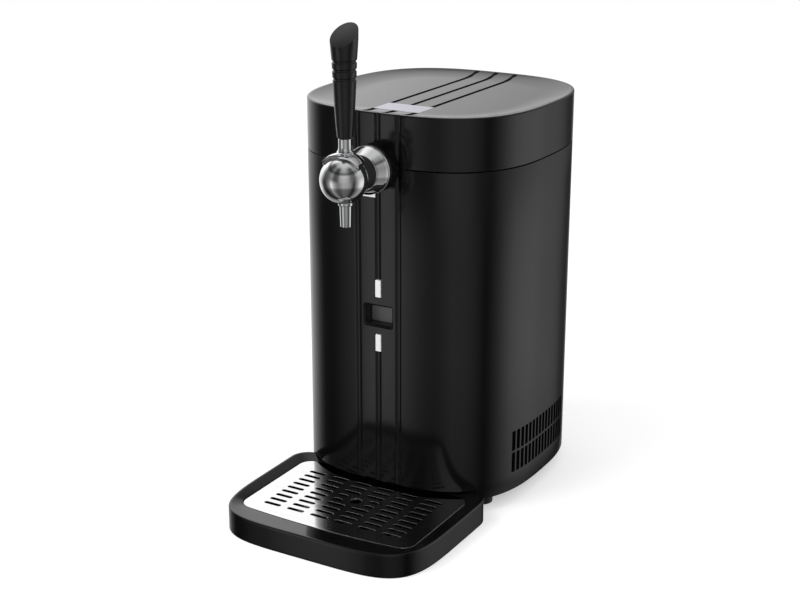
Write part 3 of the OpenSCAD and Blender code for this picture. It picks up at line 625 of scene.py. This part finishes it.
def make_casing():
    """The casing's wall. Its middle groove stops where display and keys are."""
    bottom, top = CASING_BOTTOM, SEAM_Z - SEAM_GAP
    vents_low, vents_high = VENT_LOW - 1.6, VENT_LOW + 2 * VENT_H + VENT_GAP + 1.6
    keys_low, keys_high = [WINDOW_Z + side * (KEY_OFFSET + KEY_H / 2) for side in (-1, 1)]
    below = [(0.5, bottom), (0.15, bottom + 0.15), (0, bottom + 0.5), (0, vents_low), (0, vents_high),
             (0, keys_low - 0.05)]
    beside = [(0, keys_low + 0.6), (0, keys_high - 0.6)]
    above = [(0, keys_high + 0.05), (0, top - 0.5), (0.15, top - 0.15), (0.5, top)]
    rings = []
    for levels, skip in ((below, None), (beside, MIDDLE_GROOVE), (above, None)):
        rings += [ring(inset, z, groove_in=1.0, skip=skip) for inset, z in levels]
    rings += [ring(WALL, top), ring(WALL, bottom)]
    obj = mesh_object("casing_skin", *lofted(rings, "joined"))
    combine(obj, casing_cutters())
    soften(obj, 0.3, 2, angle=60, sharp=60)
    wall_shading(obj, bottom + 0.6, top - 0.6, MIDDLE_GROOVE, (keys_low + 0.3, keys_high - 0.3))
    piece(obj, "base", "body_plastic", "casing")


def tube(r, bore, low, high, depth, place):
    """A screw post with a blind bore from its low end."""
    profile = [(0, depth), (bore, depth), (bore, low), (r, low), (r, high), (0, high)]
    return turned(rounded(profile, [0, 0, 0.2, 0.3, 0.3, 0], 2, closed=False), place, 32)


def make_posts():
    """The screw posts inside the casing, with the ribs that tie them to it."""
    parts, rib = [], 1.5
    for side in (-1, 1):
        base_x, deck_x, board_x = side * 104, side * 82, side * 18
        for y in (-62, 62):
            parts.append(tube(5, 1.5, 18.2, 33, 31, upright(base_x, y)))
            ends = sorted((base_x + side * 3, base_x + side * 8.6))
            parts.append(block(*ends, y - rib, y + rib, 19.2, 32))
        for y in (-86, 86):
            parts.append(tube(5, 1.5, 343.7, 318, 325, upright(deck_x, y)))
            post = Vector((deck_x, y))
            way = post.normalized()
            wide = Vector((-way.y, way.x)) * rib
            start, end = post + way * 3, post + way * 16.4
            outline = [start - wide, end - wide, end + wide, start + wide]
            parts.append(prism(outline, 319, 343))
        for z in (151, 251):
            parts.append(tube(3, 1.2, -HALF_D + 21.0, -HALF_D + 2, -HALF_D + 12, along_y(board_x, z)))
    piece(mesh_object("casing_posts", *joined(parts), sharp=40), "base", "body_plastic")


# ---- lid

def drop(inset):
    """How far the lid's top lies below its rim: a dish, steepest at the rim."""
    share = min(1.0, max(0.0, (inset - RIM_INSET) / (FLOOR_INSET - RIM_INSET)))
    return (LID_Z - DISH_Z) * (1 - (1 - share) ** 2.2)


def groove_drop(inset):
    """How far the bottom of the top's grooves lies below the rim."""
    return float(np.interp(inset, [4.5, 16, FLOOR_INSET], [1.6, 4.25, LID_Z - DISH_Z + 1.9]))


def lid_levels():
    """Rows of ring()'s inset, z and grooves, from the seam up and on into the dish."""
    low, rim_z = SEAM_Z + SEAM_GAP, LID_Z - RIM_R
    levels = [(inset, z, 1, 0, 0) for inset, z in
              ((0.5, low), (0.15, low + 0.15), (0, low + 0.5), (0, rim_z - 1), (0, rim_z))]
    for k in range(1, 7):
        a = math.pi / 2 * k / 6
        levels.append((RIM_R * (1 - math.cos(a)), rim_z + RIM_R * math.sin(a), math.cos(a), 0, 0))
    for i in [2.2, 2.8, 3.1, 3.5, 4.1, 4.5, 4.8] + [5.6 + 1.4 * k for k in range(23)]:
        deep = groove_drop(i) - drop(i)
        levels.append((i, LID_Z - drop(i), 0, deep * min(1.0, max(0.0, (i - 12) / 3)),
                       deep * (i > 4.6)))
    return levels


def make_lid():
    """The lid's skin: grooves run up its front and on over its top."""
    roof, low = DISH_Z - WALL, SEAM_Z + SEAM_GAP
    inner = [(WALL + 0.3, roof), (WALL, roof - 0.3), (WALL, low + 0.4), (WALL - 0.3, low)]
    rings = [ring(inset, z) for inset, z in inner] + [ring(*level) for level in lid_levels()]
    verts, faces = lofted(rings, "open")
    faces += cap_faces(0) + cap_faces(len(verts) - len(rings[0]))
    obj = mesh_object("lid_skin", verts, faces)
    bed = rectangle(0, PLATE_Y, PLATE_W + 2 * PLATE_GAP, PLATE_L + 2 * PLATE_GAP, 1.2, 4)
    combine(obj, [tap_hole(), prism(bed, DISH_Z - 0.9, DISH_Z + 3)])
    smooth(obj, 50)
    weighted(obj)
    wall_shading(obj, low + 0.6, LID_Z - RIM_R - 0.1)
    piece(obj, "lid", "body_plastic", "lid_shell")


def make_name_plate():
    """A bare plate in the lid's dish."""
    outline = rectangle(0, PLATE_Y, PLATE_W, PLATE_L, 1.1, 4)
    obj = mesh_object("bare_plate", *prism(outline, DISH_Z - 0.9, DISH_Z + 0.1))
    soften(obj, 0.2, 2)
    piece(weighted(obj), "lid", "plate_silver", "name_plate")


# ---- tap

TAP_AXIS = along_y(0, SEAM_Z)


def make_escutcheon():
    """The black ring between body and collar, with its neck in the wall."""
    front, face, back = -HALF_D - RING_END, -HALF_D - 0.05, -HALF_D + WALL - 0.2
    neck_r, ring_r, edge = 20.0, 23.5, 1.7
    profile = [(TAP_BORE, back), (neck_r, back), (neck_r, face), (ring_r, face),
               (ring_r, front + edge), (ring_r - edge, front), (TAP_BORE, front)]
    obj = lathe("tap_ring", rounded(profile, [0, 0.3, 0.1, 0.5, 0.7, 0.5, 0]), TAP_AXIS)
    piece(obj, "base", "gloss_black", "tap_escutcheon")


def make_collar():
    """The collar, which narrows in a soft curve, and the small tab under it."""
    front, back = -HALF_D - COLLAR_END, -HALF_D - COLLAR_START
    curve = [(23.4, 2), (22.6, 2.5), (22.5, 3.1), (21.5, 5.4), (20.4, 7.7), (19.3, 10), (18.2, 12.3)]
    profile = [(TAP_BORE, back), (23.4, back)] + [(r, back - out) for r, out in curve]
    profile += [(16.9, front), (TAP_BORE, front)]
    radii = [0, 0.5, 0.5, 0.3, 0.2, 4, 4, 4, 4, 0.6, 0]
    neck = lathe("tap_neck", rounded(profile, radii), TAP_AXIS)
    piece(neck, "base", "chrome", "tap_collar")
    tab = mesh_object("neck_tab", *block(-10.2, 10.2, back - 6.2, back - 2.7, SEAM_Z - 24.4, SEAM_Z - 18))
    combine(tab, [bar(22.45, back - 8, back, TAP_AXIS, 128)])
    soften(tab, 0.6, angle=50)
    piece(weighted(tab), "base", "chrome", "collar_tab")


def make_seals():
    """Two black rings between collar and ball."""
    front, back = TAP_Y + 16, -HALF_D - COLLAR_END
    rear = [(TAP_BORE, 0.1), (15.8, 0.1), (16.4, 1), (16.4, 5.6), (15, 6.6), (16.8, 7.4)]
    profile = [(r, back - out) for r, out in rear]
    profile += [(16.8, front + 1.2), (15.9, front + 0.1), (TAP_BORE, front + 0.1)]
    radii = [0, 0.5, 0.6, 0.7, 0.4, 0.5, 0.6, 0.5, 0]
    obj = lathe("tap_rings", rounded(profile, radii), TAP_AXIS)
    piece(obj, "base", "rubber", "tap_seals")


def ball_solid(radius, steps=128, rings=96):
    """A globe about the ball's centre, turned about the tap's axis."""
    profile = [(radius * math.sin(math.pi * k / rings), TAP_Y - radius * math.cos(math.pi * k / rings))
               for k in range(rings + 1)]
    profile[0], profile[-1] = (0, TAP_Y - radius), (0, TAP_Y + radius)
    return turned(profile, TAP_AXIS, steps)


def side_cut(points, half):
    """A side view about the ball's centre, with a half width along X."""
    return prism([(TAP_Y + y, SEAM_Z + z) for y, z in points], -half, half, along_x())


def make_ball():
    """The ball: flat behind and below, bored for the beer, slit for the lever."""
    obj = mesh_object("tap_sphere", *ball_solid(BALL_R))
    combine(obj, [block(-30, 30, TAP_Y + 16, TAP_Y + 40, SEAM_Z - 30, SEAM_Z + 30),
                  block(-30, 30, TAP_Y - 40, TAP_Y + 15.9, SEAM_Z - 40, SEAM_Z - 21.2)])
    combine(obj, [bar(10, TAP_Y - 6, TAP_Y + 17, TAP_AXIS, 48)])
    combine(obj, [side_cut([(4.3, 8), (8.2, 24), (-8.3, 24), (-4.4, 8)], 2.3)])
    combine(obj, [bar(6.05, SEAM_Z - 25, SEAM_Z - 12, upright(0, SPOUT_Y), 64)])
    smooth(obj, 40)
    piece(obj, "base", "chrome", "tap_ball")


# The cap from the side, about the ball's centre, and the radii of its corners.
CAP_SIDE = [(-10.6, 28), (-8, 21.6), (-6.4, 14.6), (-3.8, 11.4), (-2.4, 12), (1.2, 14.7),
            (5, 16.8), (9, 18.4), (12, 20.2), (12, 28)]
CAP_RADII = [0, 3, 2.5, 1.0, 1.2, 2.5, 2.5, 2.0, 1.5, 0]


def make_cap():
    """The lever's cap, a shell that fits over the ball."""
    cap = mesh_object("lever_cap", *ball_solid(CAP_R, 160, 120))
    combine(cap, [ball_solid(BALL_R + LEVER_GAP, 160, 120)])
    combine(cap, [side_cut(rounded(CAP_SIDE, CAP_RADII, 6), CAP_HALF)], "INTERSECT")
    soften(cap, 0.45, angle=35)
    piece(cap, "lever", "chrome", "tap_lever")


def make_stem():
    """The stem between cap and handle, with a flared foot."""
    foot, top = CAP_R - 2.6, HANDLE_Z - SEAM_Z
    flare = [(0, -3), (9.6, -0.8), (8.5, 1.1), (7.6, 2.2), (6.9, 3.4), (6.45, 4.8), (6.25, 6.2), (6.2, 8)]
    profile = [(r, foot + up) for r, up in flare] + [(6.2, top - 0.4), (5.8, top), (0, top)]
    obj = lathe("lever_stem", rounded(profile, 3, closed=False), upright(0, STEM_Y, SEAM_Z), 96)
    combine(obj, [ball_solid(BALL_R + LEVER_GAP + 0.5, 96, 64)])
    smooth(obj, 60)
    piece(obj, "lever", "chrome")


def make_tongue():
    """The lever's hidden end: an arm, an eye round its pin, and a finger for the valve."""
    arm = [(-1.9, 1), (3.1, 23.4), (6.5, 22.9), (1.9, -1)]
    eye = [(0, -2), (3.6, -2), (4, -1.6), (4, 1.6), (3.6, 2), (0, 2)]
    finger = [(-2.6, 0), (0.4, -7.6), (3.6, -6.4), (2.6, 0)]
    parts = [side_cut(arm, 2), turned(eye, along_x(TAP_Y, SEAM_Z), 48), side_cut(finger, 2)]
    piece(mesh_object("lever_tongue", *joined(parts)), "lever", "steel")


def make_spout():
    """The spout under the ball, with a thicker head."""
    top = SEAM_Z - 21.3
    step = top - 3.4
    low = step - 20
    profile = [(4, low), (5.3, low), (5.9, step), (6.9, step), (7.2, top - 2.6), (7.2, top - 0.6),
               (6.6, top), (6, top), (6, top + 6), (4, top + 6)]
    radii = [0.2, 0.35, 0.3, 0.3, 0.3, 0.5, 0.2, 0, 0, 0]
    obj = lathe("spout_pipe", rounded(profile, radii), upright(0, SPOUT_Y), 96)
    piece(obj, "base", "chrome", "spout")


# The handle below and above its ring grooves, each groove's start, and its section from there.
GRIP_LOW = [(0, 0), (6.6, 0), (7.4, 1.2), (8.4, 12), (9.7, 32), (10.6, 50)]
GRIP_HIGH = [(12.3, 80), (12.9, 90), (13, 104), (0, 104)]
GRIP_GROOVES = [(10.8, 52.6), (11.1, 60.6), (11.4, 68.2)]
GROOVE_SECTION = [(0, 0), (-0.9, 0.8), (-0.9, 2.0), (0.1, 2.8)]


def make_handle():
    """The handle, which widens upwards and ends in a slanted top."""
    grooves = [(r + out, z + up) for r, z in GRIP_GROOVES for out, up in GROOVE_SECTION]
    radii = [0, 0.5, 1.5, 30, 30, 10] + [0.5, 0.3, 0.3, 0.5] * 3 + [15, 30, 0, 0]
    profile = rounded(GRIP_LOW + grooves + GRIP_HIGH, radii, 5, closed=False)
    obj = lathe("tap_grip", profile, upright(0, STEM_Y, HANDLE_Z), sharp=50)
    reach, slope = 40, math.tan(math.radians(HANDLE_SLANT))
    wedge = [(STEM_Y + y, HANDLE_TOP_Z + z) for y, z in
             ((-reach, -reach * slope), (reach, reach * slope), (reach, 90), (-reach, 90))]
    combine(obj, [prism(wedge, -30, 30, along_x())])
    soften(obj, 0.4, angle=35, sharp=60)
    piece(obj, "lever", "handle_black", "tap_handle")


# ---- display and keys

def make_keys():
    """Two keys, each with a flange behind the wall and a stem to its switch."""
    for name, body, side in (("key_top", "up_key", 1), ("key_bottom", "down_key", -1)):
        z = WINDOW_Z + side * KEY_OFFSET
        outline = rectangle(0, z, KEY_W - 2 * KEY_GAP, KEY_H - 2 * KEY_GAP, 0.5)
        cap = mesh_object(name, *joined([
            front_prism(outline, -KEY_PROUD, 4),
            front_block(z, KEY_W / 2 + 1.6, KEY_H / 2 + 1.6, WALL + 0.15, WALL + 1.6),
            front_block(z, 2, 2, 4, 15.2)]))
        soften(cap, 0.35)
        piece(weighted(cap), body, "key_white", "key_up" if side > 0 else "key_down")


# The window rim's section as (how far outside the window, depth behind the front).
RIM_SECTION = [(1.2, WALL + 0.3), (1.2, 0.6), (1.05, 0.4), (0.75, 0.35), (-0.6, 1.6), (-0.9, 2.1),
               (-0.9, WALL + 0.3)]


def make_display():
    """The deep surround behind the window, its rim, and the display's lens."""
    half_w, half_h = WINDOW_W / 2, WINDOW_H / 2
    obj = mesh_object("display_surround", *front_block(
        WINDOW_Z, half_w + 2.5, half_h + 2.5, WALL + 0.4, WINDOW_DEPTH))
    combine(obj, [front_prism(window(0, 0.9), 0, WINDOW_DEPTH + 1)])
    soften(obj, 0.25, 2)
    piece(weighted(obj), "base", "inner_plastic", "display_bezel")
    rings = [[(u, -HALF_D + depth, v) for u, v in window(grow, 1.7 + grow)] for grow, depth in RIM_SECTION]
    piece(mesh_object("display_rim", *lofted(rings, "joined")), "base", "gloss_black")
    lens = mesh_object("display_glass", *front_block(
        WINDOW_Z, half_w + 2, half_h + 2, WINDOW_DEPTH + 0.05, WINDOW_DEPTH + 2))
    soften(lens, 0.3, 2)
    piece(weighted(lens), "base", "screen_grey", "display_lens")


# ---- drip tray

def grid_plan(e, corner_steps=8):
    """The plate's plan, drawn in by e: a slightly bowed front and four round corners."""
    end = GRID_HALF_W - GRID_CORNER
    bow = 1720.0
    low, high = GRID_FRONT + end * end / bow + GRID_CORNER, GRID_REAR - GRID_CORNER
    points = [(end * i / 12, GRID_FRONT + e + (end * i / 12) ** 2 / bow) for i in range(-11, 12)]
    for side, y, start, stop in ((1, low, -84, 0), (1, high, 0, 90), (-1, high, 90, 180),
                                 (-1, low, 180, 264)):
        points += arc(side * end, y, GRID_CORNER - e, start, stop, corner_steps)
    return points


def by_bearing(outline, bearings):
    """Where rays from the tray's centre leave the outline."""
    points = np.array(outline) - TRAY_CENTRE
    made = []
    for b in bearings:
        direction = np.array((math.cos(b), math.sin(b)))
        for p, q in zip(points, np.roll(points, -1, 0)):
            edge = q - p
            cross = direction[0] * edge[1] - direction[1] * edge[0]
            if abs(cross) < 1e-12:
                continue
            far = (p[0] * edge[1] - p[1] * edge[0]) / cross
            t = (p[0] * direction[1] - p[1] * direction[0]) / cross
            if far > 0 and -1e-9 <= t <= 1 + 1e-9:
                made.append(tuple(TRAY_CENTRE + far * direction))
                break
    return made


def tray_bearings():
    """The bearings of both plans' points, without those that almost agree."""
    plans = tray_plan(0, 24) + grid_plan(0, 6)
    angles = sorted({round(math.atan2(y - TRAY_CENTRE[1], x - TRAY_CENTRE[0]), 3) for x, y in plans})
    kept = [angles[0]]
    for a in angles[1:]:
        if a - kept[-1] > 0.012:
            kept.append(a)
    return kept


def make_tray():
    """The bowl, with a sloping rim, a ledge for the plate and two lugs at the rear."""
    bearings = tray_bearings()

    def outer(e, z):
        return [p + (z,) for p in by_bearing(tray_plan(e), bearings)]

    def inner(e, z):
        return [p + (z,) for p in by_bearing(grid_plan(e), bearings)]

    outside = [(1.2, 0), (0.35, 0.3), (0, 1.1), (0, 2.2), (0, TRAY_H - 2.4), (0, TRAY_H - 1.1),
               (0.15, TRAY_H - 0.55), (0.55, TRAY_H - 0.15), (1.1, TRAY_H), (1.8, TRAY_H - 0.03)]
    inside = [(-0.7, GRID_Z - 0.25), (-0.7, GRID_Z - 1.0), (-0.5, GRID_Z - 1.05), (3.6, GRID_Z - 1.05),
              (4, GRID_Z - 1.4), (4, 5.5), (4.4, 4), (5.5, 3.2), (7, 3)]
    slope = list(zip(outer(2, TRAY_H), inner(-0.7, GRID_Z)))
    rings = [outer(*level) for level in outside]
    for t in (0.02, 0.08, 0.5, 0.93, 0.99):
        rings.append([tuple(a + (b - a) * t for a, b in zip(start, end)) for start, end in slope])
    rings += [inner(*level) for level in inside]
    lugs = [block(x - LUG_HALF, x + LUG_HALF, TRAY_REAR - 1, TRAY_REAR + 10, 18.6, 22.6)
            for x in (-LUG_X, LUG_X)]
    obj = mesh_object("tray_bowl", *joined([lofted(rings)] + lugs), sharp=55)
    piece(obj, "tray", "gloss_black", "drip_tray")


def slot_loops(e):
    """The plate's slots, widened by e, with shorter ones beside the finger hole."""
    r = SLOT_W / 2
    loops = []
    for i in range(SLOT_COLUMNS):
        for j in range(SLOT_ROWS):
            x = (i - (SLOT_COLUMNS - 1) / 2) * COLUMN_PITCH
            y = FIRST_ROW_Y + j * ROW_PITCH
            x0, x1 = x - SLOT_L / 2, x + SLOT_L / 2
            if math.hypot(x, y - FINGER_Y) < COLUMN_PITCH / 1.8:
                x0, x1 = (FINGER_CLEAR, x1) if x > 0 else (x0, -FINGER_CLEAR)
            loops.append(arc(x1 - r, y, r + e, -90, 90) + arc(x0 + r, y, r + e, 90, 270))
    return loops + [circle(FINGER_R + e, 48, 0, FINGER_Y)]


def sheet_with_holes(name, outline, holes, z0, z1, edge):
    """A flat plate with rounded edges, which move its outline and holes out by edge."""
    curve = bpy.data.curves.new(name, "CURVE")
    curve.dimensions = "2D"
    curve.fill_mode = "BOTH"
    curve.extrude = ((z1 - z0) / 2 - edge) * MM
    curve.bevel_depth = edge * MM
    curve.bevel_resolution = 2
    for loop in [outline] + holes:
        spline = curve.splines.new("POLY")
        spline.points.add(len(loop) - 1)
        for point, (x, y) in zip(spline.points, loop):
            point.co = (*at(x, y, 0)[:2], 0, 1)
        spline.use_cyclic_u = True
    flat = linked(name + "_curve", curve)
    flat.location.z = (z0 + z1) / 2 * MM
    mesh = final_mesh(flat)
    mesh.transform(flat.matrix_world)
    bpy.data.objects.remove(flat)
    obj = linked(name, mesh)
    turn_outwards(mesh, merge=True)
    smooth(obj, 35)
    return obj


def make_grid():
    """The slotted plate, and the eyelet under its finger hole."""
    edge, sheet = 0.2, 1.0
    plate = sheet_with_holes("tray_plate", grid_plan(edge), slot_loops(edge), GRID_Z - sheet, GRID_Z, edge)
    piece(weighted(plate), "grid", "mirror_steel", "drip_grid")
    collar = rectangle(FINGER_R + 0.6, GRID_Z - 1.75, 1.2, 1.7, 0.3)
    piece(lathe("plate_eyelet", collar, upright(0, FINGER_Y), 64), "grid", "mirror_steel")


# ---- feet and CAD nodes that stay

def make_feet():
    """Four round feet, hollow below for their screws."""
    profile = [(4.6, 0), (9.0, 0), (9.7, 0.5), (10, 1.4), (10, 13.6), (9.4, 15.2), (2.1, 15.2), (2.1, 7),
               (4.6, 7)]
    foot = rounded(profile, [0.4, 0.6, 0.6, 0.6, 1.2, 0.8, 0, 0, 0], 3)
    parts = [turned(foot, upright(x, y), 64) for x in (-FOOT_X, FOOT_X) for y in (-FOOT_Y, FOOT_Y)]
    piece(mesh_object("table_feet", *joined(parts), sharp=60), "base", "rubber", "rubber_feet")


# How far the edges of these nodes are rounded.
SOFT_EDGES = {
    0.1: ("control_board",),
    0.15: ("lever_screw",),
    0.2: ("valve_plunger", "heatsink", "fan_rotor", "power_board"),
    0.3: ("hinge_pin", "base_pan", "deck_screws", "base_screws", "foot_screws", "tap_shank",
          "line_connector", "lever_pin", "handle_stud", "fan_frame", "cold_plate"),
    0.4: ("hinge_lower_screws", "hinge_upper_screws", "power_inlet", "deck_ring", "tap_bracket"),
    0.5: ("hinge_lower_leaf", "hinge_upper_leaf", "lid_gasket", "tap_nut"),
    0.6: ("keg_well", "lid_liner"),
}


def dress_cad_nodes():
    """Gives each node the finish of its slot, and some nodes rounded edges."""
    for row in frame["record"]["subparts"]:
        obj = frame["nodes"][row["node"]]
        obj.data.materials.clear()
        obj.data.materials.append(MATERIALS[row["material_slot"]])
    for width, names in SOFT_EDGES.items():
        for name in names:
            bevel(frame["nodes"][name], width, 2, 50).harden_normals = True


# ---- stage

FLOOR_SIZE, FLOOR_WHITE, FLOOR_GLOW = 16, 0.82, 0.4
WORLD_LIGHT = 0.7
TENT_R, TENT_Z = 4.0, 0.2

# Brightness of the tent's cloth by bearing in degrees, 0 in front, 90 to the right.
WALLS = [(-180, 0.04), (-168, 0.3), (-152, 1.0), (-125, 0.95), (-103, 0.74), (-86, 0.22), (-78, 0.05),
         (-62, 0.04), (-53, 0.11), (-43, 0.27), (-37, 0.37), (-34, 0.55), (-32, 0.86), (-28, 0.84),
         (-22, 0.62), (-18, 0.5), (-10, 0.31), (0, 0.2), (9, 0.2), (28, 0.38), (46, 0.35), (60, 0.24),
         (77, 0.03), (86, 0.11), (97, 0.32), (107, 0.6), (119, 0.86), (131, 0.84), (145, 0.64),
         (157, 0.34), (168, 0.1), (180, 0.04)]
UPPER_WALLS = [(-180, 0.15), (-166, 0.28), (-158, 0.66), (-151, 0.9), (-146, 1.12), (-138, 1.2),
               (-100, 1.1), (-84, 0.35), (-70, 0.08), (-50, 0.1), (-30, 0.25), (-14, 0.07), (2, 0.1),
               (14, 0.35), (30, 0.45), (46, 0.4), (66, 0.14), (84, 0.09), (104, 0.4), (120, 0.5),
               (150, 0.4)]
# By height in degrees: what is left of both walls, and the shares of upper walls and ceiling.
TOWARDS_FLOOR = [(-90, 0.25), (-34, 0.35), (-27, 0.6), (-21, 1.0), (90, 1.0)]
TOWARDS_CEILING = [(-90, 1.0), (17, 1.0), (22, 1.15), (30, 1.15), (35, 0.5), (41, 0.35), (48, 0.8),
                   (56, 0.9), (90, 0.9)]
UPPER_SHARE = [(-90, 0.0), (-7, 0.0), (9, 1.0), (90, 1.0)]
CEILING_SHARE = [(-90, 0.0), (58, 0.0), (74, 0.9), (90, 0.95)]
CEILING_LIGHT = 0.6

# Disk lamps as (name, place, size, power), all aimed at one point.
LAMPS = [("key_light", (-0.9, -1.2, 1.9), 1.6, 22), ("fill_light", (1.6, -0.6, 1.4), 1.4, 9)]
LAMP_TARGET = (0, 0, 0.2)

# Where the camera stands, and its bearing and height in degrees.
VIEW_PLACE = (0.7174, -1.25905, 0.6835)
VIEW_BEARING, VIEW_HEIGHT, VIEW_LENS = 30.057, 18.465, 68.32


def seen_rays(tree):
    """1 for camera, glossy and transmission rays."""
    rays = node(tree, "LightPath").outputs
    mirrored = reckon(tree, "MAXIMUM", rays["Is Camera Ray"], rays["Is Glossy Ray"])
    return reckon(tree, "MAXIMUM", mirrored, rays["Is Transmission Ray"])


def world_light():
    """White behind all that the camera, metal and glass see, softer light on surfaces."""
    world = bpy.data.worlds.new("studio")
    bpy.context.scene.world = world
    tree = bare_tree(world)
    white, soft = [node(tree, "Background", Color=(1, 1, 1, 1), Strength=strength).outputs[0]
                   for strength in (1.0, WORLD_LIGHT)]
    mix = node(tree, "MixShader", seen_rays(tree), soft, white)
    node(tree, "OutputWorld", mix.outputs[0])


def floor_paint():
    """Pale paint that looks nearly white and still takes a shadow."""
    paint = bpy.data.materials.new("floor_white")
    tree = bare_tree(paint)
    diffuse = node(tree, "BsdfDiffuse", Color=(FLOOR_WHITE, FLOOR_WHITE, FLOOR_WHITE, 1))
    glow = node(tree, "Emission", Strength=reckon(tree, "MULTIPLY", seen_rays(tree), FLOOR_GLOW))
    add = node(tree, "AddShader", diffuse.outputs[0], glow.outputs[0])
    node(tree, "OutputMaterial", add.outputs[0])
    return paint


def make_floor():
    """A wide plain floor."""
    mesh = bpy.data.meshes.new("floor")
    corners = rectangle(0, 0, FLOOR_SIZE, FLOOR_SIZE, 0)
    mesh.from_pydata([p + (0,) for p in corners], [], [[0, 1, 2, 3]])
    mesh.materials.append(floor_paint())
    floor = linked("floor", mesh)
    floor.visible_glossy = False


def grey_ramp(tree, rows, share, half):
    """The brightness by (degrees, brightness) rows at a share of the way from -half to half."""
    made = node(tree, "ValToRGB", Fac=share)
    elements = made.color_ramp.elements
    elements.remove(elements[-1])
    for number, (degrees, value) in enumerate(rows):
        position = (degrees + half) / (2 * half)
        element = elements.new(position) if number else elements[0]
        element.position = position
        element.color = (value, value, value, 1)
    return made.outputs["Color"]


def tent_cloth():
    """Cloth that glows by bearing and height: walls, upper walls and a ceiling."""
    cloth = bpy.data.materials.new("tent_cloth")
    tree = bare_tree(cloth)
    x, y, z = node(tree, "SeparateXYZ", Vector=node(tree, "TexCoord").outputs["Object"]).outputs
    bearing = reckon(tree, "ARCTAN2", x, reckon(tree, "MULTIPLY", y, -1.0))
    turn = reckon(tree, "ADD", reckon(tree, "DIVIDE", bearing, 2 * math.pi), 0.5)
    level = reckon(tree, "DIVIDE", reckon(tree, "SUBTRACT", z, TENT_Z), TENT_R)
    rise = reckon(tree, "ADD", reckon(tree, "DIVIDE", reckon(tree, "ARCSINE", level), math.pi), 0.5)
    walls, upper = [reckon(tree, "MULTIPLY", grey_ramp(tree, around, turn, 180),
                           grey_ramp(tree, upwards, rise, 90))
                    for around, upwards in ((WALLS, TOWARDS_FLOOR), (UPPER_WALLS, TOWARDS_CEILING))]
    light = node(tree, "Mix", Factor=grey_ramp(tree, UPPER_SHARE, rise, 90), A=walls, B=upper)
    light = node(tree, "Mix", Factor=grey_ramp(tree, CEILING_SHARE, rise, 90), A=light.outputs[0],
                 B=CEILING_LIGHT)
    node(tree, "OutputMaterial", node(tree, "Emission", Strength=light.outputs[0]).outputs[0])
    return cloth


def make_tent():
    """A globe of cloth round the stage, open at its bottom. Only reflections show it."""
    columns, levels, lowest = 64, 24, -80
    rings = []
    for j in range(levels + 1):
        e = math.radians(lowest + (90 - lowest) * j / levels)
        around = [2 * math.pi * k / columns for k in range(columns)]
        rings.append([(TENT_R * math.cos(e) * math.sin(a), -TENT_R * math.cos(e) * math.cos(a),
                       TENT_R * math.sin(e) + TENT_Z) for a in around])
    verts, faces = lofted(rings, "open")
    mesh = bpy.data.meshes.new("tent")
    mesh.from_pydata(verts, [], faces)
    mesh.materials.append(tent_cloth())
    tent = linked("tent", mesh)
    for rays in ("camera", "diffuse", "shadow", "transmission", "volume_scatter"):
        setattr(tent, "visible_" + rays, False)


def make_lamps():
    """Soft lamps that no mirror shows."""
    for name, place, size, power in LAMPS:
        light = bpy.data.lights.new(name, "AREA")
        light.shape = "DISK"
        light.size = size
        light.energy = power
        lamp = linked(name, light)
        lamp.location = place
        lamp.rotation_euler = (Vector(LAMP_TARGET) - Vector(place)).to_track_quat("-Z", "Y").to_euler()
        lamp.visible_glossy = False


def make_camera():
    """The camera of the main view, held level."""
    azimuth, elevation = math.radians(VIEW_BEARING), math.radians(VIEW_HEIGHT)
    back = Vector((math.sin(azimuth) * math.cos(elevation), -math.cos(azimuth) * math.cos(elevation),
                   math.sin(elevation)))
    right = Vector((math.cos(azimuth), math.sin(azimuth), 0))
    data = bpy.data.cameras.new("camera")
    data.sensor_fit = "HORIZONTAL"
    data.sensor_width = 36.0
    data.lens = VIEW_LENS
    camera = linked("camera", data)
    turn = Matrix((right, back.cross(right), back)).transposed().to_4x4()
    camera.matrix_world = Matrix.Translation(VIEW_PLACE) @ turn
    bpy.context.scene.camera = camera


for make in (make_casing, make_posts, make_lid, make_name_plate, make_escutcheon, make_collar,
             make_seals, make_ball, make_cap, make_stem, make_tongue, make_spout, make_handle,
             make_keys, make_display, make_tray, make_grid, make_feet, dress_cad_nodes,
             world_light, make_floor, make_tent, make_lamps, make_camera):
    make()
bpy.context.scene.view_settings.view_transform = "Standard"
